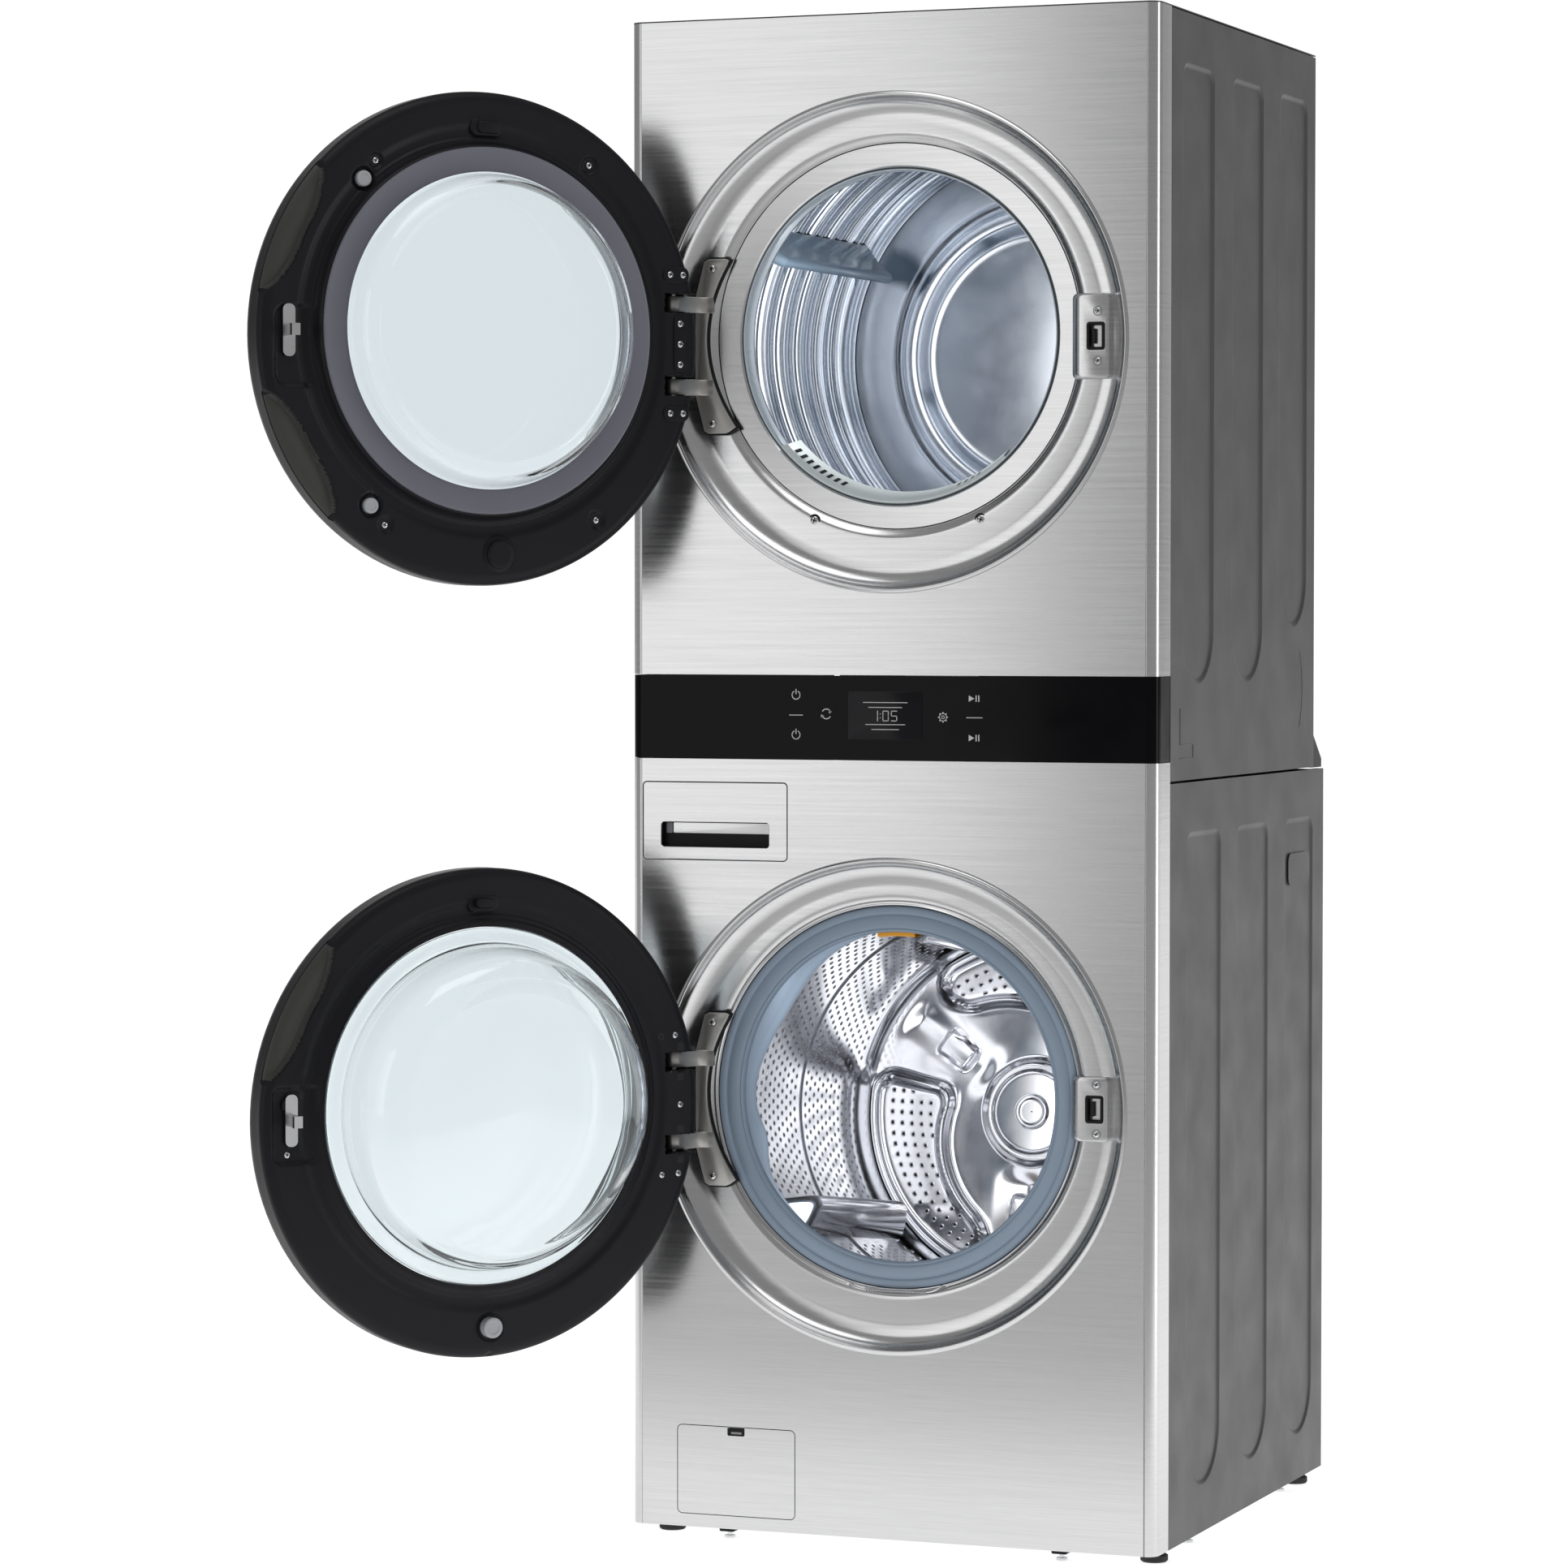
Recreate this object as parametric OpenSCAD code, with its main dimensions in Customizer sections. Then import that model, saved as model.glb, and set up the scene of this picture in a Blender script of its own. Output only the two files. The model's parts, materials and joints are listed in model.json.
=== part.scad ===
// Stacked laundry centre: a front-loading washer with a dryer above it in one cabinet.
// X runs across the front, Y runs from the front face to the back, Z is up.
// The origin is on the floor under the middle of the front face.

/* [Cabinet] */
// Width of the cabinet
body_w = 686; // [680:1:690]
// Height of the cabinet above the floor
body_h = 1889; // [1880:1:1895]
// Depth of the dryer cabinet
dryer_depth = 692; // [685:1:700]
// Depth of the washer cabinet
washer_depth = 741; // [735:1:745]
// Radius of the upright front corners
corner_r = 15; // [8:1:20]
// Thickness of the cabinet sheet
sheet = 1.5; // [1:0.1:2]
// Distance the front panels wrap round the sides
wrap = 52; // [45:1:60]
// Height of the cabinet's underside above the floor
underside_z = 18; // [16:1:20]
// Height of the seam between the two cabinets
seam_z = 951; // [948:1:954]
// Bottom of the glass control band
band_z = 977; // [970:1:980]
// Height of the glass control band
band_h = 103; // [100:1:106]

/* [Round openings] */
// Height of the dryer door's centre
dryer_z = 1487; // [1480:1:1492]
// Height of the washer door's centre
washer_z = 552; // [548:1:556]
// Height of each drum's axis above its door's centre
drum_lift = 9; // [6:1:10]
// Radius of the dished recess round each door
recess_r = 300; // [299.5:0.5:302]
// Depth of the dished recess at its flat
recess_depth = 22; // [21:0.5:24]
// Radius where the dished panel ends
ring_r = 236; // [234:1:238]
// Radius of the mouth of each drum
mouth_r = 205; // [203:1:206]

/* [Doors] */
// Outer radius of each door
door_r = 297; // [295:0.5:298]
// Angle of each door in the stored pose, from closed
door_open = 128; // [90:1:130]
// Distance of the hinge pin from the door's centre
pin_x = 278; // [277:0.5:279]
// Distance of the hinge pin in front of the front face
pin_out = 20; // [19:0.5:21]
// Radius of the hinge pin
pin_r = 4; // [3.5:0.1:4.5]
// Height of each hinge arm above or below the door's centre
arm_z = 51; // [49:1:53]

/* [Drums] */
// Inner radius of the washer drum
washer_drum_r = 246; // [240:1:248]
// Front of the washer drum
washer_drum_y = 118; // [112:1:124]
// Back of the washer drum, along its axis
washer_drum_back = 578; // [560:1:580]
// Angle the washer drum's axis dips towards the back
washer_tilt = 7.3; // [0:0.1:8]
// Inner radius of the dryer drum
dryer_drum_r = 278; // [272:1:280]
// Front of the dryer drum
dryer_drum_y = 78; // [76:1:84]
// Back of the dryer drum
dryer_drum_back = 606; // [600:1:608]

/* [Drawer and flap] */
// Width of the dispenser drawer's front
drawer_w = 192; // [180:1:194]
// Height of the dispenser drawer's front
drawer_h = 96; // [92:1:98]
// Width of the service flap
flap_w = 156; // [150:1:158]
// Height of the service flap
flap_h = 110; // [104:1:112]

/* [Feet] */
// Distance of each foot from the middle plane
foot_x = 318; // [310:1:320]
// Radius of each foot pad
foot_r = 17; // [14:0.5:18]

/* [Hidden] */
$fn = 96;
eps = 0.3;
gap = 0.05;
half_w = body_w / 2;
band_top = band_z + band_h;
top_z = body_h - 3;
dryer_axis_z = dryer_z + drum_lift;
washer_axis_z = washer_z + drum_lift;
tilt_y = 50;
dish_w = 24;
ring_y = 29;
mouth_y = 32;
foot_ys = [75, 700];
drawer_x = -230;
drawer_z = 899;
flap_x = -202;
flap_z = 90;
flap_pivot_z = flap_z - flap_h / 2 + 9;
latch_x = 260;
latch_lift = 4;
door_front = -36;
door_back = 12;
motor_x = 170;
motor_z = 1140;
idler_x = 80;
idler_z = 1165;
belt_y = 380;
pulley_r = 14;
roller_r = 38;
roller_angle = 38;
exhaust_r = 50.8;
exhaust_z = 1075;
filter_x = flap_x;
filter_z = 92;

// ---- helpers ----

// A solid of revolution about a front-to-back axis; the profile is drawn as [radius, y].
module lathe(x, z) {
    translate([x, 0, z])
        rotate([-90, 0, 0])
            rotate_extrude(convexity = 8) children();
}

// A cylinder along Y from y0 to y1.
module rod(x, z, r, y0, y1) {
    translate([x, y0, z])
        rotate([-90, 0, 0])
            cylinder(r = r, h = y1 - y0);
}

// A tube along Y from y0 to y1.
module tube(x, z, r_out, r_in, y0, y1) {
    difference() {
        rod(x, z, r_out, y0, y1);
        rod(x, z, r_in, y0 - 1, y1 + 1);
    }
}

// An outline in X and Z extruded along Y from y0 to y1.
module slab(y0, y1) {
    translate([0, y1, 0])
        rotate([90, 0, 0])
            linear_extrude(y1 - y0, convexity = 8) children();
}

// A box between two corners.
module block(low, high) {
    translate(low) cube(high - low);
}

// A rectangle with round corners, centred on the origin.
module round_rect(w, h, r) {
    square([w - 2 * r, h], center = true);
    square([w, h - 2 * r], center = true);
    for (sx = [-1, 1], sz = [-1, 1])
        translate([sx * (w / 2 - r), sz * (h / 2 - r)]) circle(r);
}

// A solid node mirrored to the left side.
module mirrored(left) {
    if (left) mirror([1, 0, 0]) children();
    else children();
}

// The plan of the cabinet with rounded front corners, from the front face back to depth.
module plan(depth, inset) {
    w = half_w - inset;
    r = corner_r - inset;
    translate([-w, corner_r]) square([2 * w, depth - corner_r - inset]);
    translate([-half_w + corner_r, inset]) square([body_w - 2 * corner_r, corner_r]);
    for (s = [-1, 1])
        translate([s * (half_w - corner_r), corner_r]) circle(r);
}

// The upright skin of a front panel, wrapped round both sides.
module front_skin(z0, z1, inset) {
    translate([0, 0, z0])
        linear_extrude(z1 - z0)
            intersection() {
                difference() {
                    plan(300, inset);
                    plan(320, inset + sheet);
                }
                translate([-half_w, 0]) square([body_w, wrap]);
            }
}

// Points down the dished wall of a recess, offset by t along the wall's inside.
function dish_points(t) = [
    for (a = [0 : 7.5 : 90])
        [recess_r - dish_w + (dish_w + t) * cos(a), (recess_depth + t) * sin(a)]
];

// The dished recess with its rolled lip at the front.
module recess(z, axis_z) {
    lathe(0, z)
        polygon(concat(
            [[recess_r + 5, 0], [recess_r + 4, -1], [recess_r + 1.5, -1.6], [recess_r, -1]],
            dish_points(0),
            [[268, recess_depth + 1]],
            [[268, recess_depth + 1 + sheet]],
            [for (p = [len(dish_points(sheet)) - 1 : -1 : 1]) dish_points(sheet)[p]],
            [[recess_r + 3, sheet], [recess_r + 5, sheet]]
        ));
    // The flat between the dish and the drum ring, which sits drum_lift higher.
    difference() {
        rod(0, z, 268.5, recess_depth + 1, recess_depth + 1 + sheet);
        rod(0, axis_z, ring_r + 14, recess_depth, recess_depth + 4);
    }
    lathe(0, axis_z)
        polygon([[ring_r + 14.5, recess_depth + 1], [ring_r, ring_y],
                 [ring_r, ring_y + 2 * sheet], [ring_r + 14.5, recess_depth + 1 + sheet]]);
}

// ---- cabinet ----

module base_frame() {
    color("dimgray") {
        difference() {
            block([-half_w + 3, 14, underside_z + 1], [half_w - 3, washer_depth - 4, underside_z + 15]);
            block([-half_w + 6, 17, underside_z + 4], [half_w - 6, washer_depth - 7, underside_z + 16]);
            for (sx = [-1, 1], y = foot_ys)
                translate([sx * foot_x, y, 0]) cylinder(r = 6.5, h = 60);
        }
        for (sx = [-1, 1])
            block([sx * 218 - 11, 60, underside_z - 7], [sx * 218 + 11, 100, underside_z + 0.7]);
        for (sx = [-1, 1], y = [214, 626])
            block([sx * 315 - 10, y - 16, underside_z - 7], [sx * 315 + 10, y + 16, underside_z + 0.7]);
    }
}

module foot_pads() {
    color("black")
        for (sx = [-1, 1], y = foot_ys)
            translate([sx * foot_x, y, 0])
                rotate_extrude()
                    polygon([[0, 0], [foot_r - 2, 0], [foot_r, 2], [foot_r, 8], [foot_r - 3, 10], [0, 10]]);
}

module foot_stems() {
    color("silver")
        for (sx = [-1, 1], y = foot_ys)
            translate([sx * foot_x, y, 0]) {
                translate([0, 0, 10]) cylinder(r = 6, h = 50);
                translate([0, 0, 10]) cylinder(r = 11, h = 3.5, $fn = 6);
                translate([0, 0, 14.6]) cylinder(r = 10.5, h = 4, $fn = 6);
            }
}

// One raised bead panel on a side: straight sides, round foot, rounded shoulders.
// a and b are its front and back edges and z0 and z1 its ends.
module bead(a, b, z0, z1, grow) {
    w = b - a + 2 * grow;
    translate([(a + b) / 2, 0]) {
        translate([-w / 2, z0 + (b - a) / 2]) square([w, z1 - z0 - (b - a) / 2 - 20 + grow]);
        translate([-w / 2 + 20, z1 - 30]) square([w - 40, 30 + grow]);
        translate([0, z0 + (b - a) / 2]) circle(w / 2);
        for (s = [-1, 1]) translate([s * (w / 2 - 20), z1 - 20 + grow]) circle(20);
    }
}

// The beads of one side panel: each entry is [front edge, back edge, bottom, top].
function dryer_beads() = [[100, 232, 1070, 1826], [311, 448, 1070, 1826], [524, 654, 1138, 1826]];
function washer_beads() = [[122, 267, 77, 889], [336, 478, 77, 889], [558, 690, 77, 889]];

// Extrudes an outline in Y and Z from x0 to x1.
module side_slab(x0, x1) {
    translate([x0, 0, 0])
        rotate([90, 0, 90])
            linear_extrude(x1 - x0, convexity = 8) children();
}

// A side sheet with shallow pressed beads and turned-in front and rear edges.
module side_panel(depth, z0, z1, beads) {
    press = 2.5;
    difference() {
        side_slab(half_w - sheet, half_w)
            translate([wrap + 0.8, z0]) square([depth - wrap - 0.8, z1 - z0]);
        for (b = beads)
            side_slab(half_w - sheet - 1, half_w + 1) bead(b[0], b[1], b[2], b[3], 0);
    }
    for (b = beads)
        side_slab(half_w - sheet - press, half_w - sheet + 0.01)
            difference() {
                bead(b[0], b[1], b[2], b[3], sheet);
                bead(b[0], b[1], b[2], b[3], 0);
            }
    for (b = beads)
        side_slab(half_w - sheet - press, half_w - press) bead(b[0], b[1], b[2], b[3], sheet);
    // The turned-in edges at the front and the back stop above the tray of the base.
    for (y = [wrap + 0.8, depth - sheet])
        block([half_w - 16, y, z0 + 18], [half_w - 1, y + sheet, z1]);
}

module dryer_side_right() {
    color("slategray") side_panel(dryer_depth, seam_z + 2, top_z, dryer_beads());
}

module dryer_side_left() {
    mirrored(true) dryer_side_right();
}

module washer_side_right() {
    color("slategray")
        difference() {
            side_panel(washer_depth, underside_z, seam_z - 1, washer_beads());
            side_slab(half_w - 20, half_w + 1)
                translate([624, 822]) round_rect(100, 42, 12);
        }
    // The hand hold pressed into the side near the back.
    color("dimgray")
        difference() {
            side_slab(half_w - 18, half_w - 4) translate([624, 822]) round_rect(104, 46, 14);
            side_slab(half_w - 16.5, half_w) translate([624, 822]) round_rect(99, 41, 12);
        }
}

module washer_side_left() {
    mirrored(true) washer_side_right();
}

module washer_rear_panel() {
    y = washer_depth - sheet;
    z0 = underside_z + 18;
    z1 = seam_z - 2;
    color("silver")
        difference() {
            union() {
                slab(y - sheet, y)
                    translate([0, (z0 + z1) / 2]) square([body_w - 36, z1 - z0], center = true);
                // Walls and floor of the pocket that holds the water connections.
                block([-190, y - 40, 850], [190, y, 930]);
            }
            block([-190 + sheet, y - 40 + sheet, 850 + sheet], [190 - sheet, y + 1, 930 - sheet]);
            for (x = [-140, -90]) rod(x, 890, 12, y - 45, y - 30);
            rod(140, 890, 14, y - 45, y - 30);
        }
}

module dryer_rear_panel() {
    y = dryer_depth - sheet;
    color("silver")
        difference() {
            slab(y - sheet, y)
                translate([0, (seam_z + top_z) / 2])
                    square([body_w - 36, top_z - seam_z - 8], center = true);
            rod(0, exhaust_z, exhaust_r + 1.5, y - 5, y + 5);
            rod(230, 1040, 11.1, y - 5, y + 5);
            for (i = [0 : 8], s = [-1, 1])
                block([s * 190 - 60, y - 4, 1600 + i * 22], [s * 190 + 60, y + 1, 1606 + i * 22]);
        }
}

module top_panel() {
    color("slategray") {
        translate([0, 0, body_h - sheet]) linear_extrude(sheet) plan(dryer_depth, 0);
        difference() {
            block([-half_w + 20, 20, body_h - 14], [half_w - 20, dryer_depth - 20, body_h - 1]);
            block([-half_w + 22, 22, body_h - 15], [half_w - 22, dryer_depth - 22, body_h]);
        }
    }
}

module rear_joint_cover() {
    color("black")
        side_slab(-half_w + 2, half_w - 2)
            polygon([[dryer_depth + 0.5, 1000], [dryer_depth + 0.5, seam_z + 1],
                     [washer_depth - 3, seam_z + 1], [washer_depth - 3, seam_z + 12]]);
}

// The screw and socket pad raised in the recess beside each latch.
module latch_pad(z, h) {
    difference() {
        union() {
            slab(15, 15 + sheet) translate([252.5, z]) round_rect(51, h, 6);
            slab(15, recess_depth + 2)
                difference() {
                    translate([252.5, z]) round_rect(51, h, 6);
                    translate([252.5, z]) round_rect(51 - 2 * sheet, h - 2 * sheet, 5);
                }
        }
        slab(14, 30) translate([latch_x, z]) round_rect(24, 36, 3);
        for (s = [-1, 1]) rod(latch_x, z + s * 30, 2.4, 10, 20);
    }
}

module dryer_front_panel() {
    color("lightgray") {
        difference() {
            front_skin(band_top + 0.8, body_h - sheet - 0.2, 0);
            rod(0, dryer_z, recess_r + 1, -5, 20);
        }
        difference() {
            recess(dryer_z, dryer_axis_z);
            slab(10, 40) translate([252.5, dryer_z + latch_lift]) square([47, 100], center = true);
        }
        latch_pad(dryer_z + latch_lift, 105);
    }
}

module washer_front_panel() {
    color("lightgray") {
        difference() {
            front_skin(underside_z, band_z - 0.8, 0);
            rod(0, washer_z, recess_r + 1, -5, 20);
            slab(-1, 5) translate([drawer_x, drawer_z]) round_rect(drawer_w + 2, drawer_h + 2, 6);
            slab(-1, 5) translate([flap_x, flap_z]) round_rect(flap_w + 2, flap_h + 2, 4);
        }
        difference() {
            recess(washer_z, washer_axis_z);
            slab(10, 40) translate([252.5, washer_z + latch_lift]) square([47, 76], center = true);
        }
        latch_pad(washer_z + latch_lift, 81);
    }
}

module control_glass() {
    color("black") front_skin(band_z, band_top, 0.4);
}

module control_housing() {
    color("dimgray")
        difference() {
            block([-half_w + 22, 8, band_z + 4], [half_w - 22, 34, band_top - 4]);
            block([-half_w + 25, 4, band_z + 7], [half_w - 25, 31, band_top - 7]);
        }
}

// ---- dispenser drawer, service flap and pump ----

module dispenser_front() {
    color("lightgray")
        difference() {
            slab(0, 16) translate([drawer_x, drawer_z]) round_rect(drawer_w, drawer_h, 5);
            // The finger slot runs in and up behind the face.
            slab(-1, 12) translate([drawer_x, drawer_z - 17]) round_rect(144, 31, 5);
        }
}

module dispenser_drawer() {
    w = drawer_w - 30;
    color("white")
        difference() {
            block([drawer_x - w / 2, 16, 862], [drawer_x + w / 2, 290, 930]);
            for (c = [[-w / 2 + 3, -22], [-19, 24], [27, w / 2 - 3]])
                block([drawer_x + c[0], 20, 865], [drawer_x + c[1], 286, 931]);
        }
}

module dispenser_housing() {
    w = drawer_w - 20;
    color("gray")
        difference() {
            block([drawer_x - w / 2 - 3, 22, 854], [drawer_x + w / 2 + 3, 330, 944]);
            block([drawer_x - w / 2, 20, 857], [drawer_x + w / 2, 326, 941]);
        }
}

module service_flap() {
    color("lightgray") {
        difference() {
            slab(0, 4) translate([flap_x, flap_z]) round_rect(flap_w, flap_h, 6);
            slab(-1, 2.5) translate([flap_x, flap_z + flap_h / 2 - 5]) round_rect(23, 11, 2);
        }
        for (s = [-1, 1])
            difference() {
                block([flap_x + s * 60 - 4, 3.9, flap_pivot_z - 6],
                      [flap_x + s * 60 + 4, 12, flap_pivot_z + 6]);
                translate([flap_x + s * 60 - 5, 8, flap_pivot_z])
                    rotate([0, 90, 0]) cylinder(r = 2, h = 10, $fn = 32);
            }
    }
}

module drain_filter_cap() {
    color("black") {
        rod(filter_x, filter_z, 30, 26, 34);
        difference() {
            block([filter_x - 5, 16, filter_z - 26], [filter_x + 5, 26.1, filter_z + 26]);
            block([filter_x - 6, 14, filter_z - 8], [filter_x + 6, 22, filter_z + 8]);
        }
        rod(filter_x, filter_z, 24, 34, 60);
    }
}

module drain_pump() {
    color("white") {
        tube(filter_x, filter_z, 30, 24.4, 35, 78);
        rod(filter_x, filter_z, 30, 78, 110);
        rod(filter_x, filter_z, 22, 110, 150);
        // The flap's pivots and their brackets.
        for (s = [-1, 1]) {
            translate([flap_x + s * 60 - 9, 8, flap_pivot_z])
                rotate([0, 90, 0]) cylinder(r = 1.95, h = 18, $fn = 32);
            block([flap_x + s * 66.5 - 1.5, 5.5, flap_pivot_z - 2.5],
                  [flap_x + s * 66.5 + 1.5, 36.1, flap_pivot_z + 5]);
        }
        block([flap_x - 74, 36, 36], [flap_x + 74, 40, 61]);
    }
}

module water_inlet_valves() {
    y = washer_depth - 42;
    color("steelblue")
        for (x = [-140, -90]) {
            rod(x, 890, 13.2, y + 3, y + 20);
            rod(x, 890, 11, y - 40, y + 4);
        }
    color("gray") {
        rod(140, 890, 11, y - 30, y + 3);
        rod(140, 890, 12.5, y + 3, y + 30);
    }
}

// ---- washer tub and drum ----

// The tub and the drum lean back about a point just inside the mouth.
module tilted() {
    translate([0, tilt_y, washer_axis_z])
        rotate([-washer_tilt, 0, 0])
            translate([0, -tilt_y, -washer_axis_z]) children();
}

module washer_tub() {
    r = washer_drum_r + 16;
    back = washer_drum_back + 50;
    color("gainsboro")
        tilted()
            lathe(0, washer_axis_z)
                polygon([[222, 92], [228, 92], [228, 104], [r - 6, 106], [r, 112],
                         [r, back], [r - 6, back + 6], [30, back + 6], [30, back - 16],
                         [24, back - 16], [24, back - 2], [r - 5, back - 2], [r - 5, 112],
                         [222, 110]]);
}

module washer_drum() {
    r = washer_drum_r;
    front = washer_drum_y;
    back = washer_drum_back;
    color("silver")
        tilted()
            lathe(0, washer_axis_z)
                polygon([[216, front - 4], [218, front - 6], [220, front - 4], [r - 6, front],
                         [r + 1.5, front + 8], [r + 1.5, back - 6], [r - 4, back], [0, back],
                         [0, back - 10], [66, back - 10], [80, back - 2], [r - 5, back - 2],
                         [r, back - 7], [r, front + 9], [r - 7, front + 1.5], [219, front - 2]]);
}

// A long fin on the drum wall with a rounded crest, pointing at the axis.
module lifter(r_wall, height, width, y0, y1, angle) {
    rotate([0, -angle, 0])
        slab(y0, y1)
            difference() {
                union() {
                    polygon([[r_wall - 0.4, -width / 2], [r_wall - 0.4, width / 2],
                             [r_wall - height + 6, 7], [r_wall - height + 6, -7]]);
                    translate([r_wall - height + 7, 0]) circle(7);
                }
                translate([r_wall + 20, 0]) square([40.8, 200], center = true);
            }
}

module washer_drum_lifters() {
    color("silver")
        tilted()
            for (a = [100, 220, 340])
                translate([0, 0, washer_axis_z])
                    lifter(washer_drum_r - 4, 40, 56, washer_drum_y + 40, washer_drum_back - 40, a);
}

module washer_drum_spider() {
    back = washer_drum_back;
    color("gray")
        tilted() {
            rod(0, washer_axis_z, 45, back + 0.2, back + 28);
            rod(0, washer_axis_z, 15, back + 27, back + 128);
            for (a = [40, 160, 280])
                translate([0, 0, washer_axis_z])
                    rotate([0, -a, 0])
                        block([30, back + 1, -16], [washer_drum_r - 10, back + 20, 16]);
        }
}

module motor_stator() {
    back = washer_drum_back + 56;
    color("darkorange")
        tilted()
            difference() {
                rod(0, washer_axis_z, 118, back + 4, back + 36);
                rod(0, washer_axis_z, 62, back + 3, back + 37);
            }
    color("gray")
        tilted() tube(0, washer_axis_z, 61.9, 24, back + 0.2, back + 22);
}

module motor_rotor() {
    back = washer_drum_back + 110;
    color("silver")
        tilted()
            lathe(0, washer_axis_z)
                polygon([[15.05, back], [40, back], [134, back - 10], [134, back - 46],
                         [137, back - 46], [137, back - 7], [42, back + 6], [15.05, back + 8]]);
}

// An upright folded lip at the panel, then a leaning sleeve that plugs into the tub.
module door_gasket() {
    color("slategray") {
        lathe(0, washer_axis_z)
            polygon([[202, 32], [204, 28], [210, 26], [218, 27.5], [223, 30], [228, 27], [233, 27],
                     [235.5, 30], [235.5, 36], [231, 37], [224, 40], [216, 44], [213, 50],
                     [207, 50], [206, 44], [203, 38]]);
        difference() {
            tilted() tube(0, washer_axis_z, 213, 207, 10, 104);
            block([-300, -40, washer_axis_z - 300], [300, 48, washer_axis_z + 300]);
        }
        tilted() tube(0, washer_axis_z, 221.6, 207, 98, 104);
    }
}

module gasket_clamp() {
    color("silver") {
        difference() {
            lathe(0, washer_axis_z) translate([238.5, 24.2]) circle(1.4, $fn = 24);
            block([-50, 20, washer_axis_z - 260], [50, 40, washer_axis_z - 200]);
        }
        translate([-48, 22.5, washer_axis_z - 234.5])
            rotate([0, 90, 0]) cylinder(r = 3, h = 96, $fn = 32);
    }
}

module tub_suspension() {
    color("silver")
        for (s = [-1, 1])
            translate([s * 200, 380, washer_axis_z + 150])
                difference() {
                    cylinder(r = 10, h = 205);
                    translate([0, 0, 5]) cylinder(r = 7, h = 195);
                }
    color("gray")
        for (s = [-1, 1], y = [220, 460])
            translate([s * 215, y, 62]) {
                cylinder(r = 14, h = 120);
                translate([0, 0, 119])
                    cylinder(r = 7, h = washer_axis_z - 346 - (y - tilt_y) * sin(washer_tilt));
            }
}

// ---- dryer ----

module dryer_front_ring() {
    color("lightgray")
        difference() {
            lathe(0, dryer_axis_z)
                polygon([[ring_r - 0.6, ring_y + 0.6], [mouth_r + 4, mouth_y], [mouth_r, mouth_y + 4],
                         [mouth_r, 72], [mouth_r + 2, 72], [mouth_r + 2, 69], [dryer_drum_r + 8, 69],
                         [dryer_drum_r + 8, 84], [dryer_drum_r + 12, 84], [dryer_drum_r + 12, 66],
                         [mouth_r + 2, 66], [mouth_r + 2, mouth_y + 5], [mouth_r + 5, mouth_y + 2],
                         [ring_r - 0.6, ring_y + 2.6]]);
            // The slot that the lint filter drops through.
            block([-101, 41, dryer_axis_z - mouth_r - 10], [101, 59, dryer_axis_z - mouth_r + 60]);
        }
}

module lint_duct() {
    low = dryer_axis_z - 350;
    color("white")
        difference() {
            union() {
                block([-106, 38.5, low], [106, 61.5, dryer_axis_z - 176]);
                block([-106, 61, low - 46], [232, 97, low + 52]);
            }
            block([-101, 41, low + 3], [101, 59, dryer_axis_z - 170]);
            block([-103, 55, low - 43], [229, 94, low + 49]);
            rod(motor_x, motor_z, 56, 90, 100);
            rod(0, dryer_axis_z, mouth_r + 2.4, 30, 64);
        }
}

// The filter is a flat pocket whose top edge carries a grille that follows the mouth.
module lint_filter() {
    low = dryer_axis_z - 336;
    color("white")
        difference() {
            block([-98, 43, low], [98, 57, dryer_axis_z - 176]);
            rod(0, dryer_axis_z, mouth_r - 1, 30, 80);
            block([-90, 42, low + 8], [90, 45.5, low + 118]);
            block([-90, 54.5, low + 8], [90, 58, low + 118]);
            for (a = [-22 : 4 : 22])
                translate([0, 0, dryer_axis_z])
                    rotate([0, a, 0]) block([-4, 46, -mouth_r - 9], [4, 54, -mouth_r + 20]);
        }
    // The curved grille strip that lies along the bottom of the mouth.
    color("white")
        difference() {
            tube(0, dryer_axis_z, mouth_r - 0.8, mouth_r - 5, 38, 70);
            block([-300, 30, dryer_axis_z - mouth_r * 0.72], [300, 80, dryer_axis_z + 300]);
            for (a = [-34 : 4 : -6], s = [-1, 1])
                translate([0, 0, dryer_axis_z])
                    rotate([0, s * a, 0]) block([-4, 44, -mouth_r - 1], [4, 56, -mouth_r + 8]);
        }
}

module dryer_drum() {
    r = dryer_drum_r;
    ribs = 9;
    span = dryer_drum_back - dryer_drum_y - 60;
    outer = [
        for (i = [0 : ribs - 1], k = [[0, 1.5], [6, -2.5], [18, -2.5], [24, 1.5]])
            [r + k[1], dryer_drum_y + 30 + i * span / ribs + k[0]]
    ];
    color("silver")
        lathe(0, dryer_axis_z)
            polygon(concat(
                [[r, dryer_drum_y - 4], [r + 1.5, dryer_drum_y - 4]],
                outer,
                [[r + 1.5, dryer_drum_back], [r, dryer_drum_back]],
                [for (i = [len(outer) - 1 : -1 : 0]) [outer[i][0] - 1.5, outer[i][1]]]
            ));
}

module dryer_drum_lifters() {
    color("lightsteelblue")
        for (a = [32, 152, 272])
            translate([0, 0, dryer_axis_z])
                lifter(dryer_drum_r - 5.5, 60, 46, dryer_drum_y + 40, dryer_drum_back - 60, a);
}

module dryer_rear_bulkhead() {
    y = dryer_drum_back;
    color("silver")
        difference() {
            lathe(0, dryer_axis_z)
                polygon([[0, y + 8], [180, y + 8], [186, y - 2], [196, y - 2], [204, y + 10],
                         [dryer_drum_r - 4, y + 10], [dryer_drum_r - 4, y - 6],
                         [dryer_drum_r - 2.5, y - 6],
                         [dryer_drum_r - 2.5, y + 12], [0, y + 12]]);
        }
}

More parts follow.
